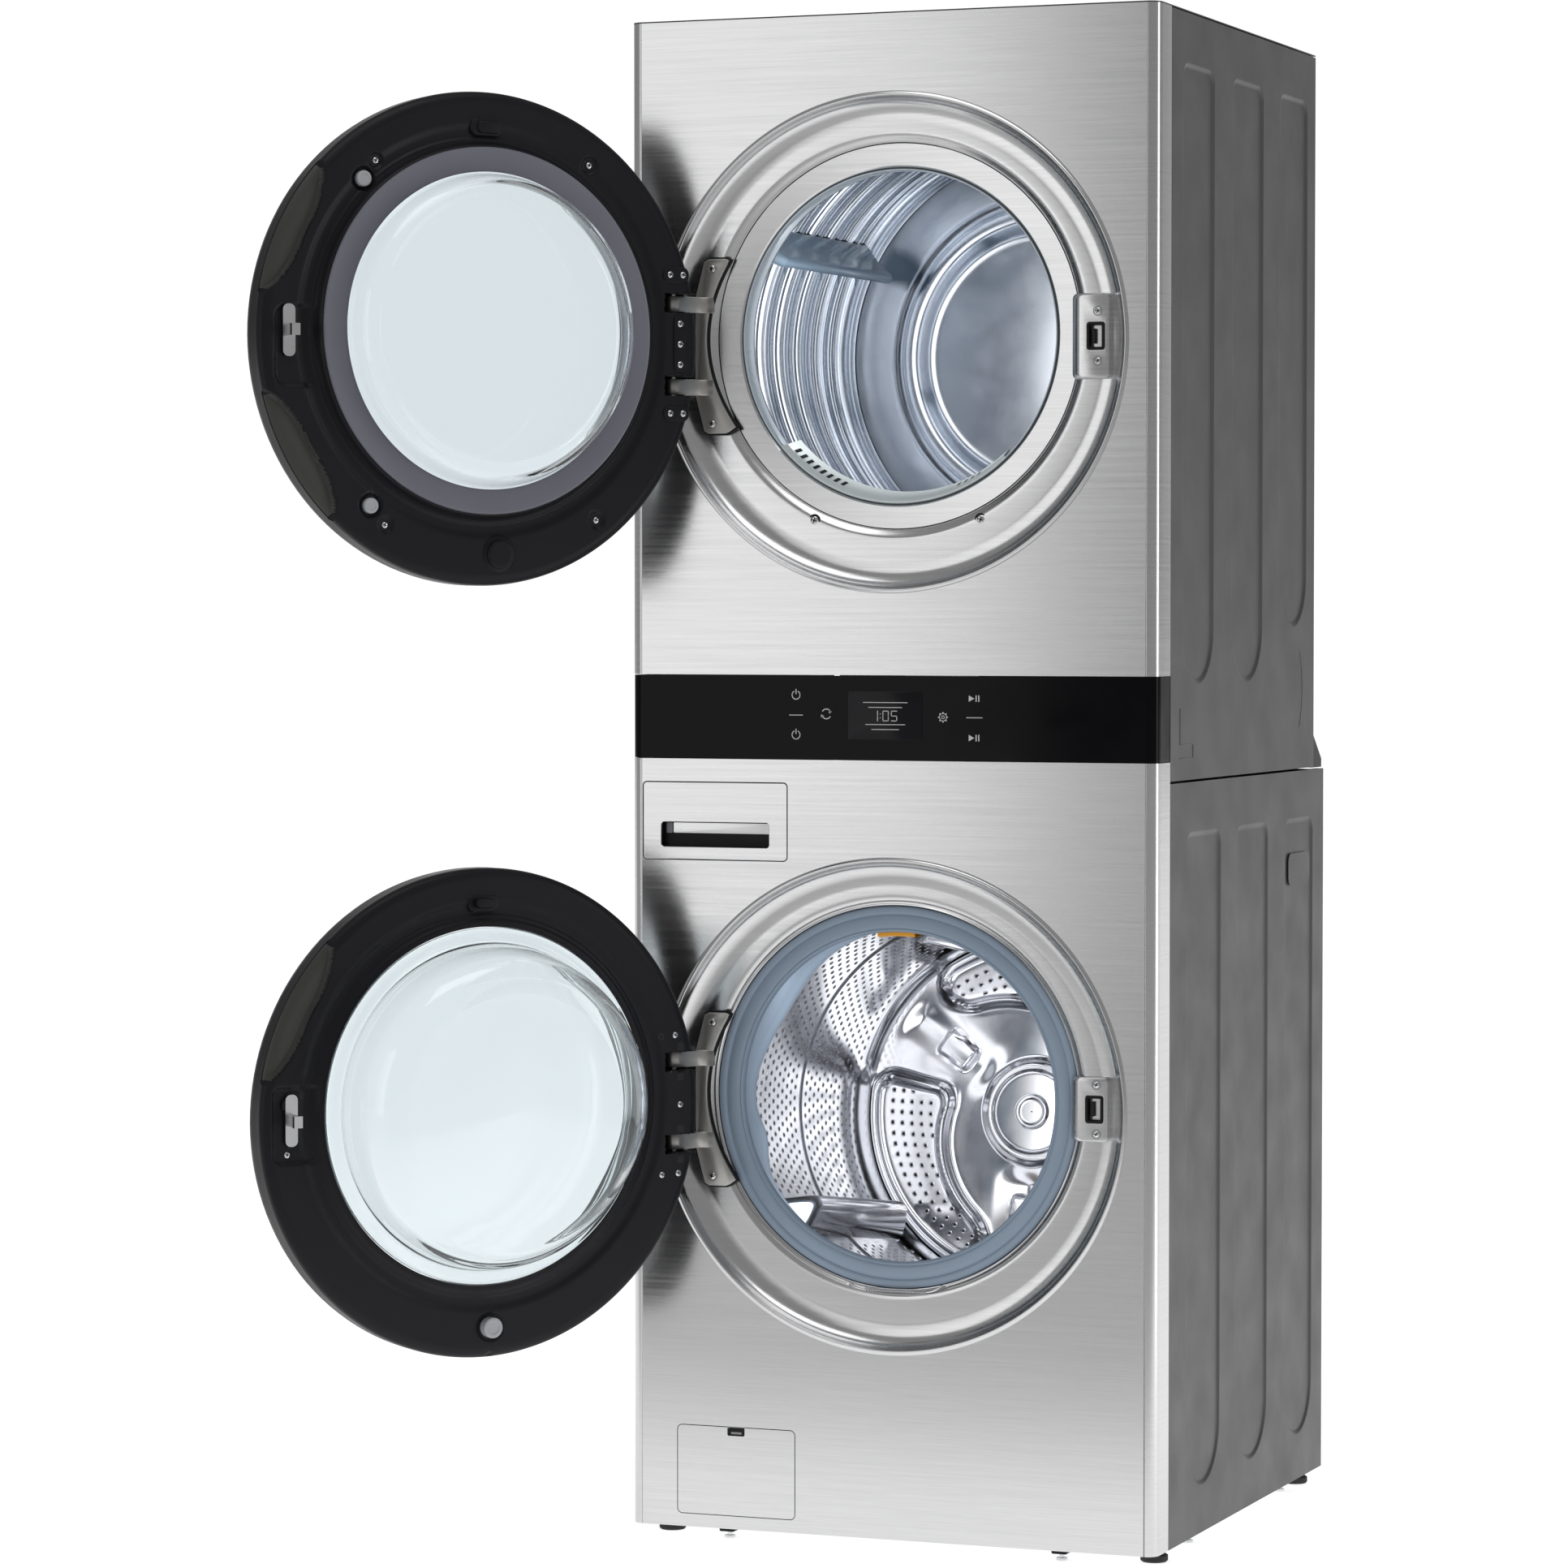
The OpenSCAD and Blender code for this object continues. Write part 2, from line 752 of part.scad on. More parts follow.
// A support roller for the drum's rear edge, on its own shaft.
module drum_roller(side) {
    d = dryer_drum_r + 1.5 + roller_r + 0.4;
    rod(side * d * sin(roller_angle), dryer_axis_z - d * cos(roller_angle), roller_r, 576, 594);
    rod(side * d * sin(roller_angle), dryer_axis_z - d * cos(roller_angle), 6, 560, 640);
}

module drum_roller_left() {
    color("dimgray") drum_roller(-1);
}

module drum_roller_right() {
    color("dimgray") drum_roller(1);
}

module drive_motor() {
    color("gray") {
        tube(motor_x, motor_z, 62, 8.2, 400, 520);
        block([motor_x - 50, 410, motor_z - 84], [motor_x + 50, 510, motor_z - 61]);
        block([motor_x - 60, 400, seam_z + 4], [motor_x + 60, 520, motor_z - 84]);
    }
}

module motor_pulley() {
    color("silver") {
        rod(motor_x, motor_z, 8, 200, 560);
        rod(motor_x, motor_z, pulley_r, belt_y - 12, belt_y + 12);
    }
}

module idler_pulley() {
    color("black") {
        rod(idler_x, idler_z, 24, belt_y - 10, belt_y + 10);
        rod(idler_x, idler_z, 5, belt_y - 40, belt_y + 40);
    }
}

module drive_belt() {
    r_in = dryer_drum_r + 2;
    color("black")
        tube(0, dryer_axis_z, r_in + 2.5, r_in, belt_y - 7, belt_y + 7);
}

module blower_housing() {
    color("gray")
        difference() {
            union() {
                rod(motor_x, motor_z, 92, 100, 190);
                block([-60, 100, motor_z - 60], [motor_x, 190, motor_z - 10]);
            }
            rod(motor_x, motor_z, 88, 103, 187);
            rod(motor_x, motor_z, 10, 180, 200);
            block([-57, 103, motor_z - 57], [motor_x, 187, motor_z - 13]);
            rod(motor_x, motor_z, 60, 90, 110);
        }
}

module blower_wheel() {
    color("white") {
        tube(motor_x, motor_z, 16, 8.05, 120, 182);
        difference() {
            rod(motor_x, motor_z, 82, 178, 182);
            rod(motor_x, motor_z, 8.05, 170, 190);
        }
        for (i = [0 : 23])
            translate([motor_x, 0, motor_z])
                rotate([0, i * 15, 0]) block([62, 116, -1], [82, 178.2, 1]);
    }
}

module exhaust_duct() {
    color("silver")
        difference() {
            union() {
                rod(0, exhaust_z, exhaust_r - 0.8, 192, dryer_depth + 2);
                rod(0, exhaust_z, exhaust_r, dryer_depth + 1, dryer_depth + 40);
            }
            rod(0, exhaust_z, exhaust_r - 2, 190, dryer_depth + 42);
        }
}

// ---- hinges and locks ----

// The fixed half of a door hinge: a plate and two arms that end in barrels round the pin.
module hinge_bracket(z) {
    difference() {
        union() {
            slab(14.5, 20)
                intersection() {
                    translate([-237, z]) round_rect(50, 220, 8);
                    difference() {
                        translate([-200, z]) square([124, 240], center = true);
                        translate([0, z + drum_lift]) circle(247);
                        translate([-276, z + 124]) circle(30);
                        translate([-276, z - 124]) circle(30);
                    }
                }
            for (s = [-1, 1])
                translate([0, 0, z + s * arm_z - 10])
                    linear_extrude(20) {
                        translate([-pin_x, -pin_out]) circle(7.5);
                        polygon([[-pin_x - 2, -pin_out + 6], [-pin_x + 4, -pin_out - 4],
                                 [-pin_x + 25.5, 14.5], [-240, 14.5], [-240, 20], [-pin_x + 19, 20]]);
                    }
        }
        translate([-pin_x, -pin_out, z - 80]) cylinder(r = pin_r + gap, h = 160);
        for (s = [-1, 1]) rod(-242, z + s * 98, 2.6, 10, 30);
    }
}

module dryer_hinge_bracket() {
    color("silver") hinge_bracket(dryer_z);
}

module washer_hinge_bracket() {
    color("silver") hinge_bracket(washer_z);
}

module lock_box(z, depth) {
    difference() {
        slab(16.7, depth) translate([latch_x, z]) round_rect(30, 48, 2);
        slab(10, depth - 6) translate([latch_x, z]) round_rect(22, 34, 2);
    }
}

module dryer_door_latch() {
    color("black") lock_box(dryer_z + latch_lift, 50);
}

module washer_door_lock() {
    color("black") lock_box(washer_z + latch_lift, 62);
}

// ---- doors, drawn closed and then swung open ----

module swung() {
    translate([-pin_x, -pin_out, 0])
        rotate([0, 0, -door_open])
            translate([pin_x, pin_out, 0]) children();
}

// The notches that let the hinge arms into the door's edge.
module arm_notches(z) {
    for (s = [-1, 1])
        block([-310, -28, z + s * arm_z - 12], [-251, 14, z + s * arm_z + 12]);
}

module door_frame(z) {
    difference() {
        lathe(0, z)
            polygon([[280.5, door_front], [286, door_front + 1], [292, -31], [296, -26], [door_r, -20],
                     [door_r, -2], [door_r - 4, -2], [door_r - 4, -19], [288, -26.5], [283, -29],
                     [270, -29], [270, -30.9], [280.5, -30.9]]);
        arm_notches(z);
    }
}

module door_glass(z) {
    lathe(0, z) polygon([[0, door_front], [279, door_front], [280.2, door_front + 1.2],
                         [280.2, -31.2], [0, -31.2]]);
}

// The dished inner cover from the rim to the window's raised collar.
module door_inner(z, collar_y, collar_r) {
    difference() {
        union() {
            lathe(0, z)
                polygon([[door_r - 0.6, -1.5], [door_r - 0.6, 3], [door_r - 3, 7.5], [door_r - 7, 10.4],
                         [door_r - 12, door_back], [236, door_back], [236, door_back - 4],
                         [door_r - 13, door_back - 4], [door_r - 9, 7], [door_r - 5, 1], [door_r - 5, -1.5]]);
            lathe(0, z + drum_lift)
                polygon([[246, door_back - 4], [246, door_back], [collar_r + 5, door_back + 1],
                         [collar_r + 1, collar_y], [collar_r - 1, collar_y], [collar_r - 1, -6],
                         [collar_r + 2, -6], [collar_r + 2, door_back - 4]]);
        }
        arm_notches(z);
    }
    // Bosses near the top and the bottom of the cover.
    slab(door_back - 1, door_back + 3) translate([-3, z + 258]) round_rect(30, 17, 6);
    rod(-5, z - 259, 14, door_back - 1, door_back + 2.5);
    // The raised block between the hinge arms.
    slab(door_back - 1, door_back + 1.6)
        translate([-270, z]) round_rect(18, 64, 5);
}

// Hinge pin, its carrier blocks, the latch hook and the hook's plate.
module door_hardware(z) {
    color("silver") {
        translate([-pin_x, -pin_out, z - 70]) cylinder(r = pin_r, h = 140);
        difference() {
            intersection() {
                for (r = [[-36, 36], [65, 70.5], [-70.5, -65]])
                    block([-pin_x - 5.9, -pin_out - 6, z + r[0]], [-256, 5, z + r[1]]);
                rod(0, z, 287.5, -pin_out - 6, 6);
            }
            translate([-pin_x, -pin_out, z - 90]) cylinder(r = pin_r + gap, h = 180);
        }
        slab(door_back + 0.1, door_back + 2)
            translate([latch_x, z + latch_lift]) round_rect(16, 62, 7);
    }
    color("white") {
        block([latch_x - 4, door_back + 2, z + latch_lift - 7], [latch_x + 2, 36, z + latch_lift + 7]);
        block([latch_x - 4, 31, z + latch_lift - 7], [latch_x + 7, 36, z + latch_lift + 7]);
    }
}

module dryer_door_frame() {
    color("black") swung() door_frame(dryer_z);
}

module dryer_door_inner() {
    color("black") swung() door_inner(dryer_z, 26, 221);
}

module dryer_door_glass() {
    color([0.1, 0.1, 0.12, 0.6]) swung() door_glass(dryer_z);
}

module dryer_door_bowl() {
    color([0.85, 0.9, 0.92, 0.4]) swung()
        lathe(0, dryer_z + drum_lift)
            polygon([[219.7, 20], [219.7, 27.5], [193, 28.5], [189, 34], [180, 58], [174, 62], [0, 62],
                     [0, 57.5], [172, 57.5], [176, 55], [185, 31], [190, 24], [200, 20]]);
}

module dryer_door_hardware() {
    swung() door_hardware(dryer_z);
}

module washer_door_frame() {
    color("black") swung() door_frame(washer_z);
}

module washer_door_inner() {
    color("black") swung() {
        door_inner(washer_z, 19, 217);
        rod(-5, washer_z - 259, 12, door_back - 1, door_back + 10);
        slab(door_back - 1, door_back + 10) translate([4, washer_z + 258]) round_rect(22, 10, 4);
    }
}

module washer_door_glass() {
    color([0.1, 0.1, 0.12, 0.6]) swung() door_glass(washer_z);
}

module washer_door_bowl() {
    color([0.85, 0.9, 0.92, 0.4]) swung()
        lathe(0, washer_z + drum_lift)
            polygon([[215.7, 8], [215.7, 17], [200, 18.5], [197, 30], [194, 50], [187, 78], [178, 94],
                     [166, 101], [0, 103],
                     [0, 98], [164, 96], [174, 90], [182, 76], [189, 49], [192, 28], [196, 12], [206, 8]]);
}

module washer_door_hardware() {
    swung() door_hardware(washer_z);
}

base_frame();
foot_pads();
foot_stems();
washer_side_left();
washer_side_right();
washer_rear_panel();
washer_front_panel();
dryer_side_left();
dryer_side_right();
dryer_rear_panel();
dryer_front_panel();
top_panel();
rear_joint_cover();
control_housing();
control_glass();
dispenser_housing();
dispenser_drawer();
dispenser_front();
service_flap();
drain_filter_cap();
drain_pump();
water_inlet_valves();
washer_tub();
washer_drum();
washer_drum_lifters();
washer_drum_spider();
motor_stator();
motor_rotor();
door_gasket();
gasket_clamp();
tub_suspension();
washer_door_lock();
washer_hinge_bracket();
washer_door_frame();
washer_door_inner();
washer_door_glass();
washer_door_bowl();
washer_door_hardware();
dryer_front_ring();
lint_duct();
lint_filter();
blower_housing();
blower_wheel();
dryer_drum();
dryer_drum_lifters();
dryer_rear_bulkhead();
drum_roller_left();
drum_roller_right();
drive_motor();
motor_pulley();
idler_pulley();
drive_belt();
exhaust_duct();
dryer_door_latch();
dryer_hinge_bracket();
dryer_door_frame();
dryer_door_inner();
dryer_door_glass();
dryer_door_bowl();
dryer_door_hardware();
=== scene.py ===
"""Looks of the stacked washer and dryer: materials, detailed pieces, light and camera."""
import json
from math import atan2, cos, degrees, exp, hypot, pi, radians, sin, sqrt

import bmesh
import bpy
from mathutils import Matrix, Vector
from mathutils.geometry import tessellate_polygon


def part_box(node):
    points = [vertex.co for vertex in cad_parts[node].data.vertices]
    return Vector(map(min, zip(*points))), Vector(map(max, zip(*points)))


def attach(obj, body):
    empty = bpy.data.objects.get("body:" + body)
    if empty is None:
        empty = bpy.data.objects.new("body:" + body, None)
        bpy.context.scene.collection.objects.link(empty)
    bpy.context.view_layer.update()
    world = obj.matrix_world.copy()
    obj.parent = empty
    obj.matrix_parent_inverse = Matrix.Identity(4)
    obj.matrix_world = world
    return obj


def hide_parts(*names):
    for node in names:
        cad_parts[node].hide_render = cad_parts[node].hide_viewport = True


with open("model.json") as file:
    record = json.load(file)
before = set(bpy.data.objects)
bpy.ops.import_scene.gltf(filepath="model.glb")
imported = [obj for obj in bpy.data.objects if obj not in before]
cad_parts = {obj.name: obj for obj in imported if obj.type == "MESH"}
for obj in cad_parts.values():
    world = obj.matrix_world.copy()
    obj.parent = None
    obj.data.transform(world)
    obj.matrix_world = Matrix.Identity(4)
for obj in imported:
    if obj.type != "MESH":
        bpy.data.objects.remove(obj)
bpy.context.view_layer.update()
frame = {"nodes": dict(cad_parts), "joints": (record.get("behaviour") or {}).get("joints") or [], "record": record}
nodes = frame["nodes"]
MM = 0.001

# ---- places and sizes in millimetres, read from the frame ----

joints = {joint["name"]: joint for joint in frame["joints"]}
HALF_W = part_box("dryer_side_right")[1].x / MM
BODY_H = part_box("top_panel")[1].z / MM
BAND = [corner.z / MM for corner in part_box("control_glass")]
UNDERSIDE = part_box("washer_front_panel")[0].z / MM
DOOR_Z = {kind: joints[kind + "_door_hinge"]["pos_m"][2] / MM for kind in ("washer", "dryer")}
AXIS_Z = {kind: joints[kind + "_drum_spin"]["pos_m"][2] / MM for kind in ("washer", "dryer")}
LIFT = AXIS_Z["dryer"] - DOOR_Z["dryer"]
PIN = Vector(joints["washer_door_hinge"]["pos_m"])
DRAWER = [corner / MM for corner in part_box("dispenser_front")]
FLAP = [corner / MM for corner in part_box("service_flap")]
DEPTH = {kind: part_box(kind + "_side_right")[1].y / MM for kind in ("washer", "dryer")}
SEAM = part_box("dryer_side_right")[0].z / MM - 2

# ---- other sizes in millimetres, and angles in degrees round a drum or a door ----

CORNER = 15
WRAP = 52
RECESS_R = 300
RING_R = 236
DOOR_R = 297
COVER_Y = 12
WELL_Y = -24
DRUM_R = 243.5
DRUM_BACK = 567
DRYER_DRUM_R = 278
HINGE_ARM = 51
BEAD_LOW, BEAD_HIGH = 1070, 1826
DRYER_BEADS = ((100, 232, BEAD_LOW, BEAD_HIGH), (311, 448, BEAD_LOW, BEAD_HIGH), (524, 654, 1138, BEAD_HIGH))
WASHER_BEADS = ((122, 267, 77, 889), (336, 478, 77, 889), (558, 690, 77, 889))
LIFTERS = (100, 220, 340)
VANES = (32, 152, 272)
POCKETS = (89, 209, 329)
ARMS = (25, 145, 265)
GRIPS = {"washer": ((28, 19),), "dryer": ((26.5, 17.5), (-30.5, 17.5))}
DOOR_TURN = radians(128)

# ---- the camera's place in metres, and its turn and tilt ----

VIEW_PLACE = (2.2412, -6.0990, 1.1656)
VIEW_TURN = radians(21.31)
VIEW_TILT = radians(1.92)
LENS = 121.96


# ---- materials ----

def principled(name, color, rough, metal=0.0, **sockets):
    """A new material and its Principled shader, with uniform values set on the shader."""
    mat = bpy.data.materials.new(name)
    mat.use_nodes = True
    shader = mat.node_tree.nodes["Principled BSDF"]
    shader.inputs["Base Color"].default_value = (*color, 1)
    shader.inputs["Roughness"].default_value = rough
    shader.inputs["Metallic"].default_value = metal
    for socket, value in sockets.items():
        shader.inputs[socket.replace("_", " ")].default_value = value
    return mat, shader


def noise(mat, scale, stretch=(1, 1, 1), detail=3.0, rough=0.5):
    """A noise texture in object space, stretched per axis."""
    tree = mat.node_tree
    place = tree.nodes.new("ShaderNodeTexCoord")
    mapping = tree.nodes.new("ShaderNodeMapping")
    mapping.inputs["Scale"].default_value = stretch
    texture = tree.nodes.new("ShaderNodeTexNoise")
    texture.inputs["Scale"].default_value = scale
    texture.inputs["Detail"].default_value = detail
    texture.inputs["Roughness"].default_value = rough
    tree.links.new(place.outputs["Object"], mapping.inputs["Vector"])
    tree.links.new(mapping.outputs["Vector"], texture.inputs["Vector"])
    return texture.outputs["Fac"]


def map_range(tree, source, edges, limits):
    """Maps the values between two edges onto the range between two limits."""
    node = tree.nodes.new("ShaderNodeMapRange")
    names = ("From Min", "From Max", "To Min", "To Max")
    for socket, value in zip(names, edges + limits):
        node.inputs[socket].default_value = value
    tree.links.new(source, node.inputs["Value"])
    return node


def spread(mat, source, low, high):
    """Maps the useful part of a noise to the range from low to high."""
    return map_range(mat.node_tree, source, (0.3, 0.7), (low, high)).outputs["Result"]


def tint(mat, shader, source, dark, light):
    """Varies the base colour between two colours."""
    node = mat.node_tree.nodes.new("ShaderNodeMix")
    node.data_type = "RGBA"
    node.inputs[6].default_value = (*dark, 1)
    node.inputs[7].default_value = (*light, 1)
    mat.node_tree.links.new(spread(mat, source, 0, 1), node.inputs[0])
    mat.node_tree.links.new(node.outputs[2], shader.inputs["Base Color"])


def bump(mat, shader, source, strength, distance):
    """Raises the surface a little where the source is high."""
    node = mat.node_tree.nodes.new("ShaderNodeBump")
    node.inputs["Strength"].default_value = strength
    node.inputs["Distance"].default_value = distance
    mat.node_tree.links.new(source, node.inputs["Height"])
    mat.node_tree.links.new(node.outputs["Normal"], shader.inputs["Normal"])


def vary(mat, shader, socket, source, low, high):
    """Varies one value of the shader between low and high."""
    mat.node_tree.links.new(spread(mat, source, low, high), shader.inputs[socket])


def shade(color, factor):
    """A darker or lighter colour."""
    return tuple(min(1.0, c * factor) for c in color)


def brushed(name, color, rough, stretch):
    """Steel with fine scratches along one direction."""
    mat, shader = principled(name, color, rough, 1.0)
    grain = noise(mat, 1.0, stretch, 5.0, 0.7)
    tint(mat, shader, grain, shade(color, 0.93), shade(color, 1.05))
    wide = tuple(s * 0.3 for s in stretch)
    vary(mat, shader, "Roughness", noise(mat, 1.0, wide, 2.0), rough - 0.03, rough + 0.03)
    bump(mat, shader, grain, 0.12, 0.00025)
    return mat


def satin(name, color, rough, speckle=900.0, relief=0.00006, metal=0.0, shine=0.5):
    """Moulded plastic or paint with a fine texture and soft blotches."""
    mat, shader = principled(name, color, rough, metal, Specular_IOR_Level=shine)
    tint(mat, shader, noise(mat, 6.0, detail=4.0), shade(color, 0.97), shade(color, 1.03))
    vary(mat, shader, "Roughness", noise(mat, 14.0), rough - 0.04, rough + 0.05)
    bump(mat, shader, noise(mat, speckle, detail=1.0), 0.3, relief)
    return mat


def polished(name, color, rough, waviness=0.0005):
    """Bright rolled steel with slow waves."""
    mat, shader = principled(name, color, rough, 1.0)
    tint(mat, shader, noise(mat, 5.0), shade(color, 0.9), shade(color, 1.05))
    vary(mat, shader, "Roughness", noise(mat, 25.0), rough * 0.8, rough * 1.3)
    bump(mat, shader, noise(mat, 9.0, detail=1.0), 0.4, waviness)
    return mat


def glass(name, color, rough=0.02):
    """Clear moulded glass with a faint waviness."""
    mat, shader = principled(name, color, rough, 0.0, Transmission_Weight=1.0, IOR=1.45)
    bump(mat, shader, noise(mat, 12.0, detail=1.0), 0.15, 0.0004)
    return mat


STEEL = brushed("brushed_steel", (0.64, 0.64, 0.645), 0.2, (9, 9, 800))
SIDE = satin("side_paint", (0.045, 0.045, 0.047), 0.38, 700.0, 0.00003, shine=0.4)
ZINC = satin("zinc_sheet", (0.45, 0.46, 0.47), 0.4, 60.0, 0.0001, 0.8)
BLACK_GLASS = satin("black_glass", (0.002, 0.002, 0.003), 0.1, 300.0, 0.00001, shine=0.1)
DOOR_BLACK = satin("door_black", (0.011, 0.011, 0.0135), 0.38, shine=0.18)
BLACK = satin("black_plastic", (0.006, 0.006, 0.007), 0.5, shine=0.25)
GRIP = satin("grip_grey", (0.05, 0.05, 0.046), 0.42, shine=0.35)
RING_GREY = satin("window_ring", (0.20, 0.20, 0.24), 0.22, 400.0, 0.00002, shine=0.35)
GREY = satin("grey_plastic", (0.25, 0.26, 0.28), 0.5)
CAP_GREY = satin("bumper_cap", (0.42, 0.43, 0.45), 0.45)
WHITE = satin("white_plastic", (0.74, 0.80, 0.80), 0.35)
CLEAR = glass("clear_glass", (0.90, 0.945, 0.96))
DOOR_GLASS = glass("door_glass", (0.80, 0.845, 0.865), 0.05)
GASKET = satin("gasket_rubber", (0.28, 0.355, 0.45), 0.5, 500.0)
RUBBER = satin("black_rubber", (0.02, 0.02, 0.02), 0.7)
DRUM = polished("drum_steel", (0.76, 0.77, 0.80), 0.13)
DRYER_STEEL = polished("dryer_drum_steel", (0.74, 0.78, 0.84), 0.18)
CHROME = polished("chrome", (0.70, 0.70, 0.71), 0.2, 0.0001)
CAST = satin("cast_hinge", (0.46, 0.45, 0.43), 0.32, 900.0, 0.00005, 0.75)
IRON = satin("motor_iron", (0.12, 0.12, 0.13), 0.5, 300.0, 0.0001, 0.6)
SCREEN = satin("display_screen", (0.008, 0.008, 0.010), 0.1, 300.0, 0.00001, shine=0.15)
COPPER = satin("copper_winding", (0.45, 0.2, 0.08), 0.35, 500.0, 0.0003, 0.9)
LIFTER_BLUE = satin("lifter_blue", (0.36, 0.50, 0.64), 0.2)
COLLAR = satin("mouth_collar", (0.62, 0.70, 0.76), 0.3)
LAMP = principled("lamp_orange", (0.95, 0.42, 0.02), 0.4, 0.0)[0]
PRINT = principled("panel_print", (0.62, 0.62, 0.62), 0.5, 0.0)[0]
HOLE = principled("hole_shadow", (0.006, 0.006, 0.007), 0.6, 0.0)[0]

FINISH = {
    "brushed_steel": STEEL, "painted_sides": SIDE, "galvanised": ZINC, "black_glass": BLACK_GLASS,
    "black_plastic": DOOR_BLACK, "grey_plastic": GREY, "white_plastic": WHITE, "clear_glass": CLEAR,
    "tinted_glass": DOOR_GLASS, "rubber_grey": GASKET, "rubber_black": RUBBER,
    "polished_steel": CHROME, "cast_metal": CAST, "motor_metal": IRON, "copper": COPPER,
    "blue_plastic": LIFTER_BLUE,
}
for subpart in frame["record"]["subparts"]:
    slots = nodes[subpart["node"]].data.materials
    slots.clear()
    slots.append(FINISH[subpart["material_slot"]])
for node in ("dryer_drum", "dryer_rear_bulkhead"):
    nodes[node].data.materials[0] = DRYER_STEEL


# ---- mesh helpers: everything is in millimetres until make() ----

def circle(x, z, r, n):
    """Outline of a circle, anticlockwise from the right."""
    return [(x + r * cos(2 * pi * i / n), z + r * sin(2 * pi * i / n)) for i in range(n)]


def at(y, points):
    """Places a drawing at a depth."""
    return [(x, y, z) for x, z in points]


def round_rect(x0, x1, z0, z1, r):
    """Outline of a rectangle with round corners, anticlockwise from the lower right."""
    n = 6
    corners = [(x1 - r, z0 + r, -90), (x1 - r, z1 - r, 0), (x0 + r, z1 - r, 90), (x0 + r, z0 + r, 180)]
    return [(cx + r * cos(radians(a + 90 * i / n)), cz + r * sin(radians(a + 90 * i / n)))
            for cx, cz, a in corners for i in range(n + 1)]


def spline(points, steps=6):
    """A smooth path through the points."""
    path = []
    for i in range(len(points) - 1):
        p0, p1 = points[max(i - 1, 0)], points[i]
        p2, p3 = points[i + 1], points[min(i + 2, len(points) - 1)]
        for k in range(steps):
            t = k / steps
            path.append(tuple(
                0.5 * (2 * b + (c - a) * t + (2 * a - 5 * b + 4 * c - d) * t * t
                       + (3 * b - a - 3 * c + d) * t ** 3)
                for a, b, c, d in zip(p0, p1, p2, p3)))
    path.append(tuple(points[-1]))
    return path


def step(x, edge, width):
    """Rises smoothly from 0 to 1 as x passes edge, over the given width."""
    t = min(1.0, max(0.0, (x - edge) / width + 0.5))
    return t * t * (3 - 2 * t)


def box_distance(x, z, cx, cz, half_w, half_h, r):
    """Signed distance to a rectangle with round corners, negative inside."""
    dx, dz = abs(x - cx) - half_w + r, abs(z - cz) - half_h + r
    return hypot(max(dx, 0), max(dz, 0)) + min(max(dx, dz), 0) - r


def inset(points, distance):
    """Moves a closed anticlockwise outline inwards by a distance."""
    moved = []
    for i, (x, z) in enumerate(points):
        before, after = points[i - 1], points[(i + 1) % len(points)]
        a, b = Vector((x - before[0], z - before[1])), Vector((after[0] - x, after[1] - z))
        normal = Vector((-a.y, a.x)).normalized() + Vector((-b.y, b.x)).normalized()
        reach = distance / max(0.5, normal.length / 2)
        normal.normalize()
        moved.append((x + normal.x * reach, z + normal.y * reach))
    return moved


def facing(x, y, z, back=False):
    """A frame at a point: local -Y points out of the face, forwards, or backwards if back."""
    turn = Matrix.Rotation(pi, 4, "Z") if back else Matrix.Identity(4)
    return Matrix.Translation((x, y, z)) @ turn


